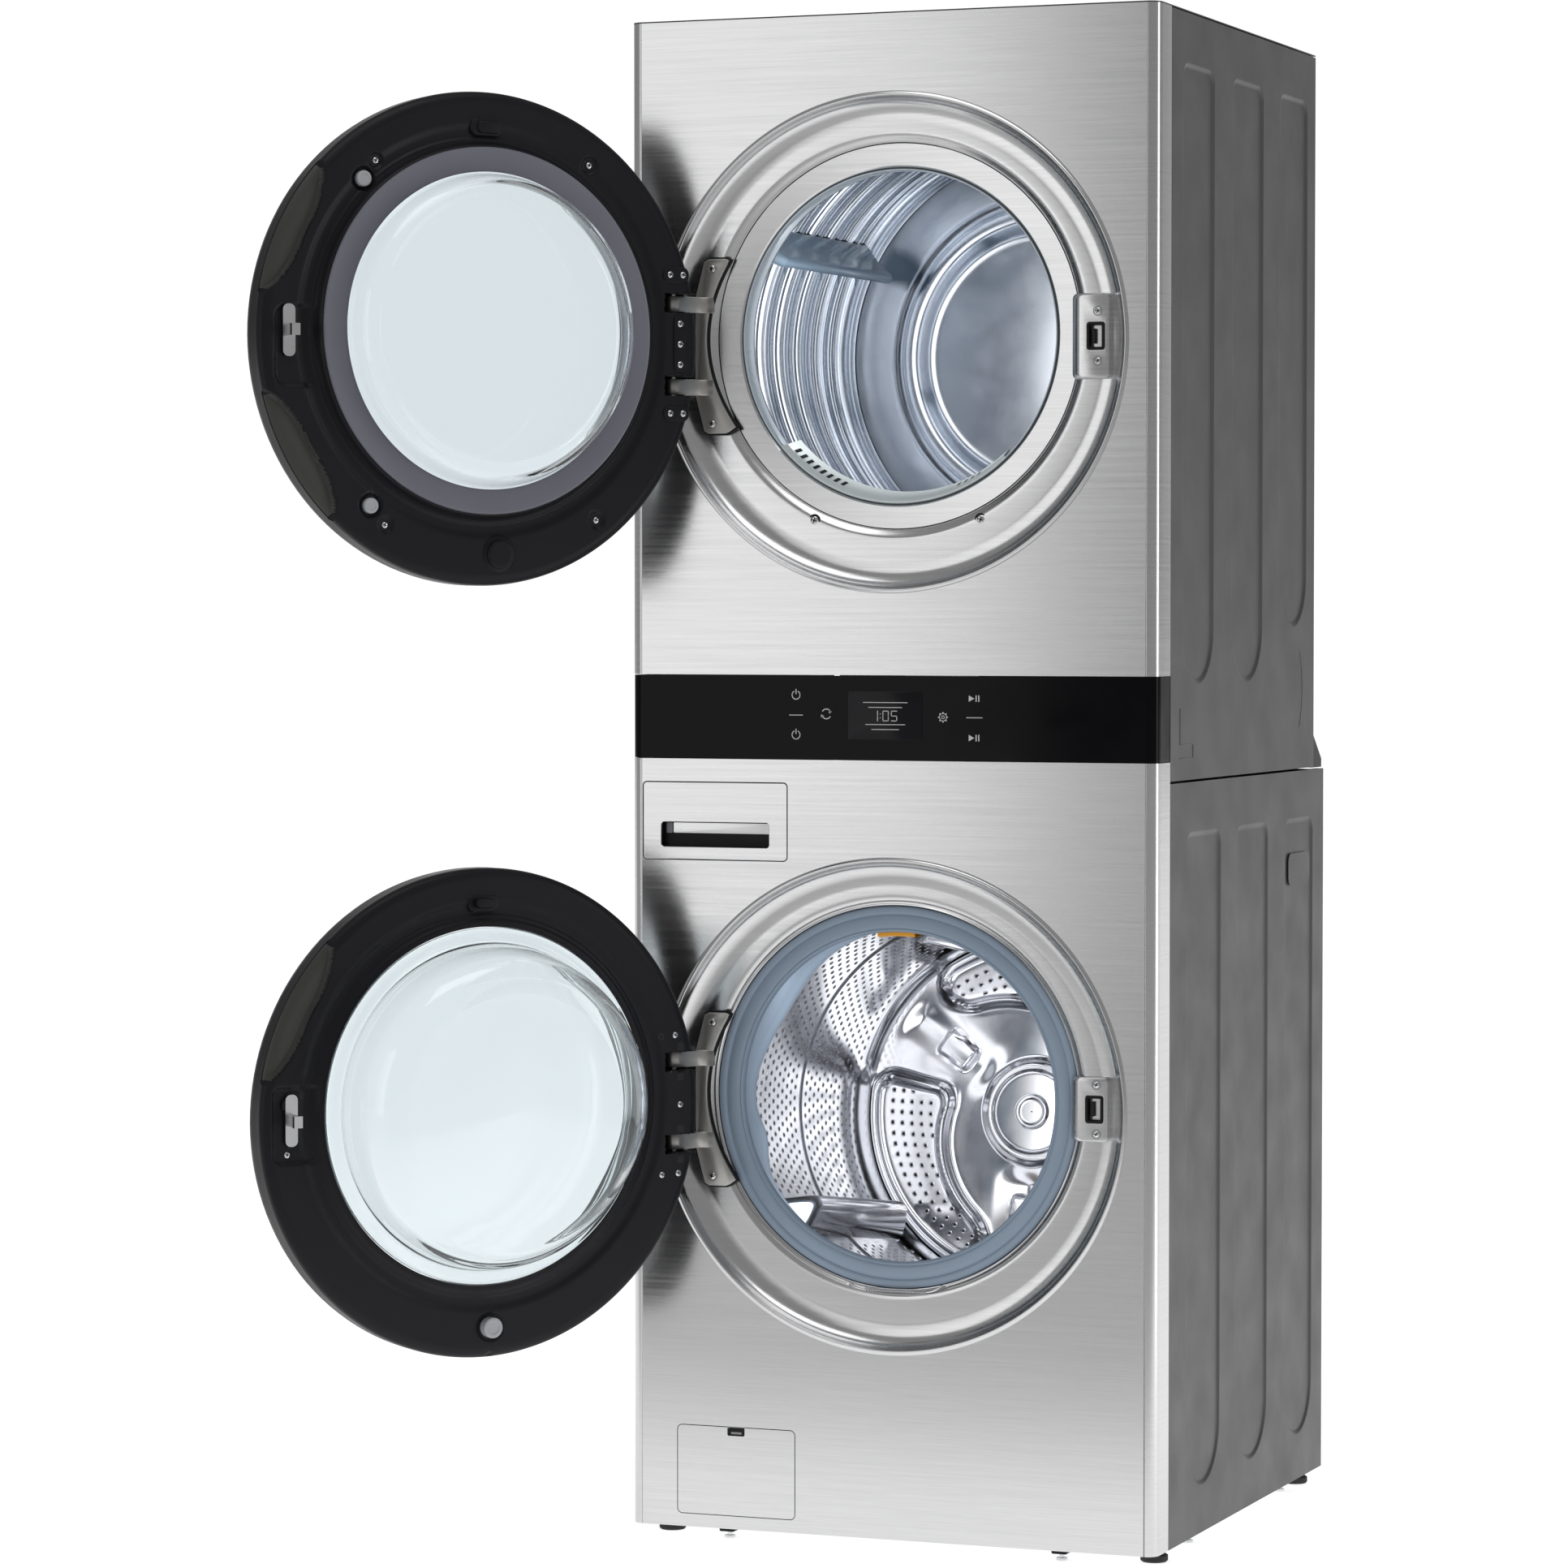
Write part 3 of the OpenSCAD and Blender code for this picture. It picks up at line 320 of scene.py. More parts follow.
class Build:
    """Collects shapes in millimetres and makes one object of them."""

    def __init__(self):
        self.verts, self.faces, self.picks, self.mats = [], [], [], []

    def add(self, verts, faces, mat, place=None):
        """Adds faces over new points, all of one material."""
        if mat not in self.mats:
            self.mats.append(mat)
        first = len(self.verts)
        self.verts += [place @ Vector(v) for v in verts] if place else [Vector(v) for v in verts]
        self.faces += [[first + i for i in face] for face in faces]
        self.picks += [self.mats.index(mat)] * len(faces)

    def skin(self, loops, mat, place=None, closed=True, cap=False, cap_first=False):
        """Quads between loops of equal length, with flat caps at the ends if asked."""
        n = len(loops[0])
        verts = [v for loop in loops for v in loop]
        faces = []
        for k in range(len(loops) - 1):
            for i in range(n if closed else n - 1):
                j = (i + 1) % n
                faces.append([k * n + i, k * n + j, (k + 1) * n + j, (k + 1) * n + i])
        if cap:
            faces.append([(len(loops) - 1) * n + i for i in range(n)])
        if cap_first:
            faces.append([i for i in reversed(range(n))])
        self.add(verts, faces, mat, place)

    def lathe(self, path, mat, place=None, n=64, start=0.0, turn=360.0, shift=None):
        """Turns a path of (radius, y) about the local Y axis; shift moves each ring up."""
        whole = abs(turn) >= 360
        count = n if whole else n + 1
        loops = []
        for k, (r, y) in enumerate(path):
            lift = shift[k] if shift else 0.0
            angles = [radians(start + turn * i / n) for i in range(count)]
            loops.append([(r * cos(a), y, lift + r * sin(a)) for a in angles])
        self.skin(loops, mat, place, closed=whole)

    def raised(self, outlines, mat, place=None):
        """Skins outlines of (points, y) from the base up and caps the last one."""
        self.skin([at(y, outline) for outline, y in outlines], mat, place, cap=True)

    def pad(self, x0, x1, z0, z1, r, base, top, mat, place=None, soft=1.5):
        """A raised pad with a rounded edge; r is its corner radius."""
        way = 1 if top > base else -1
        soft = min(soft, abs(top - base), r * 0.8)
        outlines = [(round_rect(x0, x1, z0, z1, r), base)]
        for a in range(0, 91, 15):
            d = soft * (1 - cos(radians(a)))
            y = top - way * soft * (1 - sin(radians(a)))
            outlines.append((round_rect(x0 + d, x1 - d, z0 + d, z1 - d, r - d), y))
        self.raised(outlines, mat, place)

    def cap(self, outline, holes, y, mat, place=None):
        """A flat face with holes, facing local -Y."""
        rings = [[Vector(v) for v in at(y, ring)] for ring in [outline] + holes]
        verts = [v for ring in rings for v in ring]
        faces = []
        for face in tessellate_polygon(rings):
            a, b, c = (verts[i] for i in face)
            normal = (b - a).cross(c - a)
            if normal.length > 1e-9:
                faces.append(list(face) if normal.y < 0 else list(face)[::-1])
        self.add(verts, faces, mat, place)

    def sheet(self, grid, mat, pick=None, place=None):
        """A surface through rings of points; pick gives a face's material by its centre."""
        n = len(grid[0])
        verts = [v for row in grid for v in row]
        groups = {}
        for k in range(len(grid) - 1):
            for i in range(n):
                j = (i + 1) % n
                face = [k * n + i, k * n + j, (k + 1) * n + j, (k + 1) * n + i]
                chosen = mat
                if pick:
                    x = sum(verts[f][0] for f in face) / 4
                    z = sum(verts[f][2] for f in face) / 4
                    chosen = pick(x, z) or mat
                groups.setdefault(chosen, []).append(face)
        first = len(self.verts)
        self.verts += [place @ Vector(v) for v in verts] if place else [Vector(v) for v in verts]
        for chosen, faces in groups.items():
            if chosen not in self.mats:
                self.mats.append(chosen)
            self.faces += [[first + i for i in face] for face in faces]
            self.picks += [self.mats.index(chosen)] * len(faces)

    def make(self, name, body, slot, hides=(), place=None, closed=True):
        """Makes the object, rides it on its body and hides the nodes that it replaces."""
        mesh = bpy.data.meshes.new(name)
        mesh.from_pydata([v * MM for v in self.verts], [], self.faces)
        for mat in self.mats:
            mesh.materials.append(mat)
        mesh.polygons.foreach_set("material_index", self.picks)
        bm = bmesh.new()
        bm.from_mesh(mesh)
        bmesh.ops.remove_doubles(bm, verts=bm.verts, dist=0.00001)
        if closed:
            bmesh.ops.recalc_face_normals(bm, faces=bm.faces)
        bm.to_mesh(mesh)
        bm.free()
        if place:
            mesh.transform(place)
        mesh.shade_smooth()
        mesh.set_sharp_from_angle(angle=radians(38))
        piece = bpy.data.objects.new(name, mesh)
        bpy.context.scene.collection.objects.link(piece)
        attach(piece, body)
        if hides:
            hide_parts(*hides)


def screw(build, place, r):
    """A pan-head screw with a cross recess, facing local -Y."""
    dome = [(r, 0), (r, -0.5), (r * 0.9, -1.2), (r * 0.6, -1.8), (0.01, -2.0)]
    build.lathe(dome, CHROME, place, n=20)
    for turn in (20, 110):
        arm = place @ Matrix.Rotation(radians(turn), 4, "Y")
        build.pad(-r * 0.62, r * 0.62, -r * 0.14, r * 0.14, r * 0.12, -1.0, -2.15, HOLE, arm, soft=0.1)


def eyelet(build, place, r):
    """A drum hole: a rolled bright edge round a dark centre, facing local -Y."""
    edge = [(r * 1.5, 0.15), (r * 1.2, -0.45), (r * 0.95, -0.5), (r * 0.75, 0.0)]
    build.lathe(edge, DRUM, place, n=10)
    build.add(at(-0.08, circle(0, 0, r * 0.8, 10)), [list(range(10))], HOLE, place)


# ---- cabinet fronts ----

def front_sheet(kind, z0, z1, openings):
    """The wrapped front sheet with its rolled lip and dished recess."""
    build = Build()
    flat = HALF_W - CORNER
    edge = flat - 0.6
    outline = [(-edge, z0), (edge, z0), (edge, z1), (-edge, z1)]
    build.cap(outline, [circle(0, DOOR_Z[kind], RECESS_R + 6.6, 288)] + openings, 0, STEEL)
    for side in (-1, 1):
        bend = [(flat + CORNER * sin(radians(a)), CORNER - CORNER * cos(radians(a)))
                for a in range(0, 91, 5)]
        path = [(edge, 0)] + bend + [(HALF_W, WRAP), (HALF_W - 8, WRAP)]
        build.skin([[(side * x, y, z) for x, y in path] for z in (z0, z1)], STEEL, closed=False)
    for z in (z0, z1):
        build.skin([[(-flat, y, z), (flat, y, z)] for y in (0, 9)], STEEL, closed=False)
    for opening in openings:
        build.skin([at(y, opening) for y in (0, 3)], STEEL)
    lip = [(RECESS_R + 6, 0), (RECESS_R + 4.6, -0.5), (RECESS_R + 2.6, -1.7), (RECESS_R + 0.8, -1.3),
           (RECESS_R - 0.2, 1.0), (RECESS_R - 1.0, 6), (RECESS_R - 3.5, 12), (RECESS_R - 9, 17.5),
           (RECESS_R - 17, 21.3), (RECESS_R - 27, 22.9), (RECESS_R - 34, 23)]
    inner = [(252, 23), (246, 23.6), (240, 27.4), (RING_R + 2, 28.6), (RING_R + 0.6, 29.4),
             (RING_R + 0.4, 34)]
    path = [(RECESS_R + 6.6, 0)] + spline(lip, 5) + spline(inner, 4)
    shift = [LIFT * step(-r, -259, 14) for r, y in path]
    build.lathe(path, STEEL, facing(0, 0, DOOR_Z[kind]), n=288, shift=shift)
    build.make(kind + "_front_sheet", "cabinet", "brushed_steel", (kind + "_front_panel",), closed=False)


def bead_outline(bead, grow):
    """A pressed bead in (Y, Z): a half round at the bottom and small round corners at the top."""
    front, rear, low, high = bead
    half, middle = (rear - front) / 2 + grow, (front + rear) / 2
    points = [(middle + half * cos(radians(a)), low + (rear - front) / 2 + half * sin(radians(a)))
              for a in range(180, 361, 6)]
    r = 20 + grow
    for side, first in ((1, 0), (-1, 90)):
        points += [(middle + side * (half - r) + r * cos(radians(a)), high + grow - r + r * sin(radians(a)))
                   for a in range(first, first + 91, 9)]
    return points


def side_place(side):
    """Carries a drawing in (Y, Z) onto the right side of the cabinet or its mirror place."""
    turn = Matrix.Translation((HALF_W, 0, 0)) @ Matrix.Rotation(pi / 2, 4, "Z")
    return turn if side > 0 else Matrix.Scale(-1, 4, (1, 0, 0)) @ turn


def side_sheet(kind, side, depth, z0, z1, beads):
    """A painted side sheet with soft pressed beads, the washer's hand hold and the dryer's ridges."""
    build = Build()
    place = side_place(side)
    front = WRAP + 0.8
    outline = [(front, z0), (depth, z0), (depth, z1), (front, z1)]
    holes = [bead_outline(bead, 0.6) for bead in beads]
    if kind == "washer":
        hold = round_rect(574, 674, 801, 843, 12)
        holes.append(hold)
        build.skin([at(x, inset(hold, d)) for x, d in ((0, 0), (1.2, 0.8), (16, 2.5))], SIDE, place)
        # The black face at the bottom of the hand hold is painted shade, standing in for the dark inside of the
        # opening.
        build.cap(inset(hold, 2.5), [], 16, BLACK, place)
        build.pad(586, 662, 829, 838, 3, 16, 9, SIDE, place)
    build.cap(outline, holes, 0, SIDE, place)
    press = ((0.6, 0), (0, 0), (-1, 0.2), (-2.4, 0.8), (-4.2, 1.8), (-5.6, 2.35), (-7, 2.5), (-8, 2.5))
    for bead in beads:
        build.skin([at(x, bead_outline(bead, grow)) for grow, x in press], SIDE, place)
        build.cap(bead_outline(bead, -8), [], 2.5, SIDE, place)
    build.skin([at(x, outline) for x in (0, 9)], SIDE, place)
    if kind == "dryer":
        for y0, y1, low, high in ((92, 93.4, 997, 1041), (92, 147, 996, 997.2), (92, 147, 979, 980.2),
                                  (145.8, 147, 979, 997)):
            build.pad(y0, y1, low, high, 0.5, 0.1, -0.5, SIDE, place, soft=0.3)
        ridge = [(99.6, 0.05), (99.2, -0.4), (98.4, -0.4), (98, 0.05)]
        build.lathe(ridge, SIDE, place @ facing(537, 0, 1057), n=24, start=-30, turn=60)
    name = "right" if side > 0 else "left"
    build.make(kind + "_side_sheet_" + name, "cabinet", "painted_sides", (kind + "_side_" + name,),
               closed=False)


def drawer_front():
    """The dispenser's steel front with its finger slot: silver above and black below."""
    build = Build()
    x0, x1, z0, z1 = DRAWER[0].x, DRAWER[1].x, DRAWER[0].z, DRAWER[1].z
    middle, slot_z = (x0 + x1) / 2, (z0 + z1) / 2 - 17
    outline = round_rect(x0, x1, z0, z1, 5)
    slot = round_rect(middle - 72, middle + 72, slot_z - 15.5, slot_z + 15.5, 4)
    build.cap(inset(outline, 0.7), [inset(slot, -0.5)], 0, STEEL)
    build.skin([at(y, inset(outline, d)) for y, d in ((0, 0.7), (0.2, 0.2), (0.7, 0), (16, 0))], STEEL)
    build.skin([at(y, inset(slot, d)) for y, d in ((0, -0.5), (0.5, 0), (1.5, 0.05))], STEEL)
    floor_y = 11.6
    build.skin([at(y, inset(slot, 0.05)) for y in (1.5, floor_y)], BLACK, cap=True)
    low, high = slot_z + 1, slot_z + 14.5
    build.pad(middle - 60, middle + 71, low, high, 1.5, floor_y, 11.0, STEEL, soft=0.4)
    build.pad(middle - 69, middle - 61, low, high, 1.5, floor_y, 10.0, GREY, soft=0.4)
    build.make("dispenser_face", "dispenser_drawer", "brushed_steel", ("dispenser_front",), closed=False)


def flap_clip():
    """The dark clip sunk into the top of the service flap."""
    build = Build()
    middle, top = (FLAP[0].x + FLAP[1].x) / 2, FLAP[1].z
    build.pad(middle - 11.2, middle + 11.2, top - 10.6, top - 0.4, 1.8, 2.45, 1.5, BLACK, soft=0.4)
    build.pad(middle - 7, middle + 7, top - 8.4, top - 5.6, 0.8, 1.6, 0.7, GREY, soft=0.4)
    build.make("flap_clip", "service_flap", "black_plastic")


def underside_feet():
    """Small black levelling blocks behind the front edge and along the side."""
    build = Build()
    for x, y in ((-226, 40), (211, 40), (318, 214), (318, 626)):
        build.pad(x - 10, x + 10, 9, UNDERSIDE + 1, 2, y + 12, y - 12, BLACK, soft=1.5)
        build.lathe([(7, 0), (7, 3), (3, 3), (3, 9)], CHROME,
                    Matrix.Translation((x, y, 0.6)) @ Matrix.Rotation(pi / 2, 4, "X"), n=20)
    build.make("levelling_blocks", "cabinet", "black_plastic")


def hinge_plate(kind):
    """The cabinet's half of a hinge: a shaped plate on a black layer that is painted shadow of its recessed
    pocket, and two curved arms.
    """
    build = Build()
    z = DOOR_Z[kind]
    edge = [(-247 + 32 * ((k - LIFT) / 99) ** 2, z + k) for k in range(-100, 101, 10)]
    outline = edge + [(-217, z + 106), (-222, z + 108), (-244, z + 108), (-250, z + 105),
                      (-262, z + 60), (-262, z - 60), (-250, z - 105), (-244, z - 108),
                      (-222, z - 108), (-217, z - 106)]
    # The first, wider layer is black: painted shadow round the plate where its pocket lies in shade. The second is
    # the cast plate.
    for grow, base, top, mat in ((-2.2, 22.5, 17.5, BLACK), (0, 18, 14.3, CAST)):
        steps = ((0, base), (0, top + 1.2), (0.4, top + 0.4), (1.2, top))
        build.raised([(inset(outline, grow + d), y) for d, y in steps], mat)
    outside = spline([(-238, 14.3), (-247, 13.4), (-254, 9), (-261, -2), (-267, -14), (-271, -22),
                      (-278, -27.4), (-284.6, -23.6), (-285.2, -17)], 5)
    inside = spline([(-281, -12.6), (-274, -4), (-268, 8), (-259, 16), (-248, 19.4), (-238, 20)], 5)
    profile = outside + inside
    for s in (-1, 1):
        middle = z + s * HINGE_ARM
        loops = []
        for half, d in ((-10, 1.2), (-9.6, 0.5), (-8.8, 0), (8.8, 0), (9.6, 0.5), (10, 1.2)):
            loops.append([(x, y, middle + half) for x, y in inset(profile, -d)])
        build.skin(loops, CAST, cap=True, cap_first=True)
    build.make(kind + "_hinge_plate", "cabinet", "cast_metal", (kind + "_hinge_bracket",))


def latch_pad(kind, half_h):
    """The raised steel pad with the latch socket and its two screws."""
    build = Build()
    z = DOOR_Z[kind] + 4
    loops = []
    for d, ramp, y in ((0, 0, 23.4), (0.2, 3, 20), (0.6, 7, 16.8), (1.4, 10, 15.4), (2.8, 13, 15)):
        outline = round_rect(227.5 + ramp, 277.5 - d, z - half_h + d, z + half_h - d, 7 - d)
        loops.append(at(y, outline))
    build.skin(loops, STEEL)
    x0, x1, socket_half = 248, 271, 17
    build.cap(outline, [round_rect(x0, x1, z - socket_half, z + socket_half, 3)], 15, STEEL)
    bezel = Build()
    loops = []
    for d, y in ((0, 16), (0, 14.2), (0.8, 13.4), (3.2, 13.4), (3.8, 14.2), (4.2, 34)):
        outline = round_rect(x0 + d, x1 - d, z - socket_half + d, z + socket_half - d, 4.5 - d)
        loops.append(at(y, outline))
    bezel.skin(loops, BLACK, cap=True)
    bezel.pad(254, 258, z - 9, z + 9, 1, 33, 18, HOLE, soft=0.6)
    for s in (-1, 1):
        spot = facing(262, 15.2, z + s * (socket_half + 13))
        bezel.lathe([(6.2, 0.1), (6.0, -0.3), (4.9, -0.3), (4.6, 0.1)], GREY, spot, n=24)
        screw(bezel, spot, 4.2)
    build.make(kind + "_latch_pad", "cabinet", "brushed_steel", closed=False)
    bezel.make(kind + "_latch_socket", "cabinet", "black_plastic")


def panel_screws():
    """Two screws with dark washers under the dryer's ring, and the hinge plates' screws."""
    build = Build()
    for x in (-107, 110):
        spot = facing(x, 24, DOOR_Z["dryer"] - 216)
        build.lathe([(8, 0.6), (7.6, -0.8), (6.2, -0.9), (5.6, -0.2)], BLACK, spot, n=32)
        screw(build, spot, 5.4)
    for kind in DOOR_Z:
        for s in (-1, 1):
            spot = facing(-239, 14.2, DOOR_Z[kind] + s * 96)
            build.lathe([(7, 0.2), (6.6, -0.8), (5.2, -0.8), (4.8, 0)], CAST, spot, n=28)
            screw(build, spot, 4.6)
    build.make("panel_screws", "cabinet", "polished_steel")


# ---- gasket and washer drum ----

def leaning():
    """The washer drum's own frame: its axis dips towards the back."""
    joint = joints["washer_drum_spin"]
    place = Vector(joint["pos_m"]) / MM
    tilt = atan2(joint["axis"][2], joint["axis"][1])
    return Matrix.Translation(place) @ Matrix.Rotation(tilt, 4, "X") @ Matrix.Translation((0, -place.y, 0))


def gasket():
    """The door gasket: a flat blue-grey face with folds, and bellows with soft lobes behind."""
    build = Build()
    face = spline([(235.6, 31), (235.4, 28.4), (233, 26.8), (229, 26.4), (226.6, 27.4), (225.2, 29.2),
                   (223.4, 28.2), (218, 26.6), (212, 26.6), (209.4, 27.8), (208.2, 29.2), (206.6, 28.4),
                   (204.4, 30.4), (203.4, 34), (204.2, 39), (208, 45)], 4)
    build.lathe(face, GASKET, facing(0, 0, AXIS_Z["washer"]), n=256)
    upright, tipped = facing(0, 0, AXIS_Z["washer"]), leaning()
    rows = []
    bellows = spline([(208, 45), (213, 51), (216, 59), (214, 68), (210, 77), (211, 86), (214, 95),
                      (219, 103), (222.5, 109), (224, 113)], 5)
    for r, y in bellows:
        row = []
        lean = step(y, 68, 44)
        count = 240
        for i in range(count):
            a = 2 * pi * i / count
            lobe = exp(-((degrees(a) - 150) / 20) ** 2) + 0.9 * exp(-((degrees(a) - 196) / 9) ** 2)
            depth = 13 * lobe * step(y, 56, 20) * (1 - step(y, 98, 18))
            spot = Vector(((r - depth) * cos(a), y, (r - depth) * sin(a)))
            row.append((upright @ spot).lerp(tipped @ spot, lean))
        rows.append(row)
    build.skin(rows, GASKET)
    build.make("gasket_folds", "cabinet", "rubber_grey", ("door_gasket",), closed=False)


def drum_lamp():
    """The orange lens of the lamp at the top of the gasket."""
    lamp = Build()
    lamp.lathe([(204, 36), (199.6, 35.5), (198.4, 36.5), (198, 40), (198, 60), (204, 62)], LAMP,
               facing(0, 0, AXIS_Z["washer"]), n=10, start=84, turn=14)
    lamp.make("drum_lamp", "cabinet", "grey_plastic")


def clamp_spring():
    """The wire clamp round the gasket, with its coil spring at the bottom."""
    build = Build()
    z0 = AXIS_Z["washer"]
    low = z0 - 238
    half, r, y0 = 40, 2.4, 23.5

    def wire(points, r, n=6):
        """A round wire through the points."""
        loops = []
        for i, p in enumerate(points):
            ahead = Vector(points[min(i + 1, len(points) - 1)]) - Vector(points[max(i - 1, 0)])
            side = ahead.cross(Vector((0.31, 0.87, 0.38))).normalized()
            up = ahead.cross(side).normalized()
            loops.append([Vector(p) + r * (cos(2 * pi * k / n) * side + sin(2 * pi * k / n) * up)
                          for k in range(n)])
        build.skin(loops, CHROME, cap=True, cap_first=True)

    coil = []
    turns, per_turn = 26, 24
    for i in range(per_turn * turns + 1):
        x = -half + 2 * half * i / (per_turn * turns)
        a = 2 * pi * i / per_turn
        coil.append((x, y0 + r * cos(a), low + r * sin(a)))
    wire(coil, 0.7, 5)
    for s in (-1, 1):
        steps = [k / 10 for k in range(11)]
        hook = [(s * (half + 22 * t), y0 - 1.5 * sin(pi * t), low + 9 * t * t) for t in steps]
        wire(hook, 1.3)
    arc = [(238.6 * sin(radians(a)), 24.5, z0 - 238.6 * cos(radians(a))) for a in range(16, 345, 2)]
    wire(arc, 1.1)
    build.make("gasket_spring_clamp", "cabinet", "polished_steel", ("gasket_clamp",))


def pocket_distance(x, z, centre):
    """Distance to a comma-shaped pocket of the drum's rear wall, negative inside."""
    rho = hypot(x, z)
    turn = (degrees(atan2(z, x)) - centre + 180) % 360 - 180
    span, corner, outer = 41, 27, 224
    inner = 112 + 56 * (turn + span) / (2 * span)
    middle, half = (inner + outer) / 2, (outer - inner) / 2
    along = radians(abs(turn) - span) * rho + corner
    across = abs(rho - middle) - half + corner
    return hypot(max(along, 0), max(across, 0)) + min(max(along, across), 0) - corner


def rear_wall_height(x, z):
    """The drum's pressed rear wall: three pockets, three arms with a boxed boss, and the hub."""
    rho = hypot(x, z)
    y = DRUM_BACK
    for a in POCKETS:
        d = pocket_distance(x, z, a)
        y -= 7 * (1 - step(d, 3, 12)) + 8 * exp(-(d / 7) ** 2)
    for a in ARMS:
        ca, sa = cos(radians(a)), sin(radians(a))
        u, v = x * ca + z * sa, -x * sa + z * ca
        y += 8 * exp(-(v / 26) ** 2) * step(u, 84, 30) * (1 - step(u, 214, 24))
        y -= 10 * (1 - step(box_distance(u, v, 137, 0, 24, 16, 6), 0, 8))
    y -= 13 * (1 - step(rho, 66, 20))
    y += 4 * exp(-((rho - 58) / 4) ** 2)
    y -= 5 * (1 - step(rho, 22, 3)) - 3 * (1 - step(rho, 17, 3))
    return y


def drum_wall(build, centre):
    """The drum's rolled front edge, its perforated wall with a pressed seam, and the curve behind."""
    wall = spline([(222, 116), (229, 113.5), (236, 116), (242, 122), (DRUM_R, 132)], 4)
    wall += [(DRUM_R, 330), (DRUM_R - 2.2, 332.5), (DRUM_R - 2.2, 336), (DRUM_R, 338.5)]
    wall += spline([(DRUM_R, DRUM_BACK - 34), (DRUM_R - 1, DRUM_BACK - 20), (DRUM_R - 5, DRUM_BACK - 8),
                    (DRUM_R - 12.7, DRUM_BACK)], 4)
    build.lathe(wall, DRUM, centre, n=192)
    count, pitch = 108, 15
    for i in range(count):
        for y in list(range(146, 324, pitch)) + list(range(350, 536, pitch)):
            a = radians(i * 360 / count + (1.7 if (y // pitch) % 2 else 0))
            if min(abs((degrees(a) - lift + 180) % 360 - 180) for lift in LIFTERS) < 9:
                continue
            spin = Matrix.Rotation(-a, 4, "Y") @ Matrix.Translation((DRUM_R - 0.2, y, 0))
            eyelet(build, centre @ spin @ Matrix.Rotation(-pi / 2, 4, "Z"), 2.3)


def washer_drum():
    """The perforated drum with its pressed rear wall."""
    build = Build()
    centre = leaning()
    drum_wall(build, centre)
    grid = []
    for r in list(range(1, 90)) + [90 + 1.6 * k for k in range(89)]:
        grid.append([(x, rear_wall_height(x, z), z) for x, z in circle(0, 0, r, 300)])
    build.sheet(grid, DRUM, place=centre)
    for a in POCKETS:
        for ring in range(9):
            rho = 104 + ring * 13.5
            for k in range(-16, 17):
                t = radians(a) + (k + 0.5 * (ring % 2)) * 14.5 / rho
                x, z = rho * cos(t), rho * sin(t)
                if pocket_distance(x, z, a) < -13:
                    eyelet(build, centre @ facing(x, rear_wall_height(x, z) - 0.1, z), 2.6)
    build.make("washer_drum_shell", "washer_drum", "polished_steel", ("washer_drum",), closed=False)


def baffle(build, spin, middle, levels, corner, mat):
    """A drum's lifter; each level gives its half width, its half length and its radius."""
    loops = []
    for half_w, half_l, r in levels:
        outline = round_rect(-half_w, half_w, -half_l, half_l, min(half_w * 0.9, corner))
        loops.append([(r, middle + v, u) for u, v in outline])
    build.skin(loops, mat, spin, cap=True)


def washer_lifters():
    """The three smooth steel lifters of the washer's drum."""
    build = Build()
    levels = ((28, 190, 243), (27, 186, 237), (20, 178, 224), (13, 171, 212), (8, 163, 205), (4, 155, 202.5))
    for a in LIFTERS:
        spin = leaning() @ Matrix.Rotation(-radians(a), 4, "Y")
        baffle(build, spin, 348, levels, 12, DRUM)
    build.make("washer_lifters", "washer_drum", "polished_steel", ("washer_drum_lifters",))


# ---- dryer drum, vanes, mouth and rear wall ----

def dryer_drum():
    """The ribbed drum wall: alternating wide and narrow pressed rings."""
    build = Build()
    r = DRYER_DRUM_R
    path = [(r - 6, 76), (r - 2, 74), (r, 80)]
    pitch = 34
    for y in range(96, 560, pitch):
        wide = (y // pitch) % 2
        press = 5.0 if wide else 3.2
        path += [(r, y), (r - press * 0.5, y + 1.5), (r - press, y + 4),
                 (r - press, y + 11), (r - press * 0.5, y + 13.5), (r, y + 15),
                 (r, y + 21), (r - 1.4, y + 22), (r - 1.4, y + 24), (r, y + 25)]
    path += [(r, 592), (r - 4, 598), (r - 8, 601)]
    build.lathe(path, DRYER_STEEL, facing(0, 0, AXIS_Z["dryer"]), n=192)
    build.make("dryer_drum_shell", "dryer_drum", "polished_steel", ("dryer_drum",), closed=False)


def dryer_vanes():
    """The dryer's three blue vanes, with short ribs along both sides of each."""
    build = Build()
    levels = ((23, 216, 273), (22, 213, 268), (12, 208, 246), (7.5, 203, 228), (7.5, 198, 220),
              (5.5, 194, 214.5), (2.5, 190, 212.5))
    for a in VANES:
        spin = facing(0, 0, AXIS_Z["dryer"]) @ Matrix.Rotation(-radians(a), 4, "Y")
        baffle(build, spin, 330, levels, 8, LIFTER_BLUE)
        for k in range(6):
            for s in (-1, 1):
                tilt = Matrix.Rotation(s * radians(66), 4, "Y")
                rib = spin @ Matrix.Translation((250, 170 + k * 64, s * 13)) @ tilt
                build.pad(-14, 14, -0.9, 0.9, 0.8, 1, -1.6, LIFTER_BLUE, rib, soft=0.5)
    build.make("dryer_vanes", "dryer_drum", "blue_plastic", ("dryer_drum_lifters",))


def mouth_collar():
    """The pale collar inside the dryer's mouth."""
    build = Build()
    path = spline([(204.8, 34), (204.2, 32.6), (203.2, 33.4), (202.6, 38), (203, 52), (204.4, 66),
                   (208, 73)], 4)
    build.lathe(path, COLLAR, facing(0, 0, AXIS_Z["dryer"]), n=160)
    build.make("mouth_collar", "cabinet", "white_plastic", closed=False)


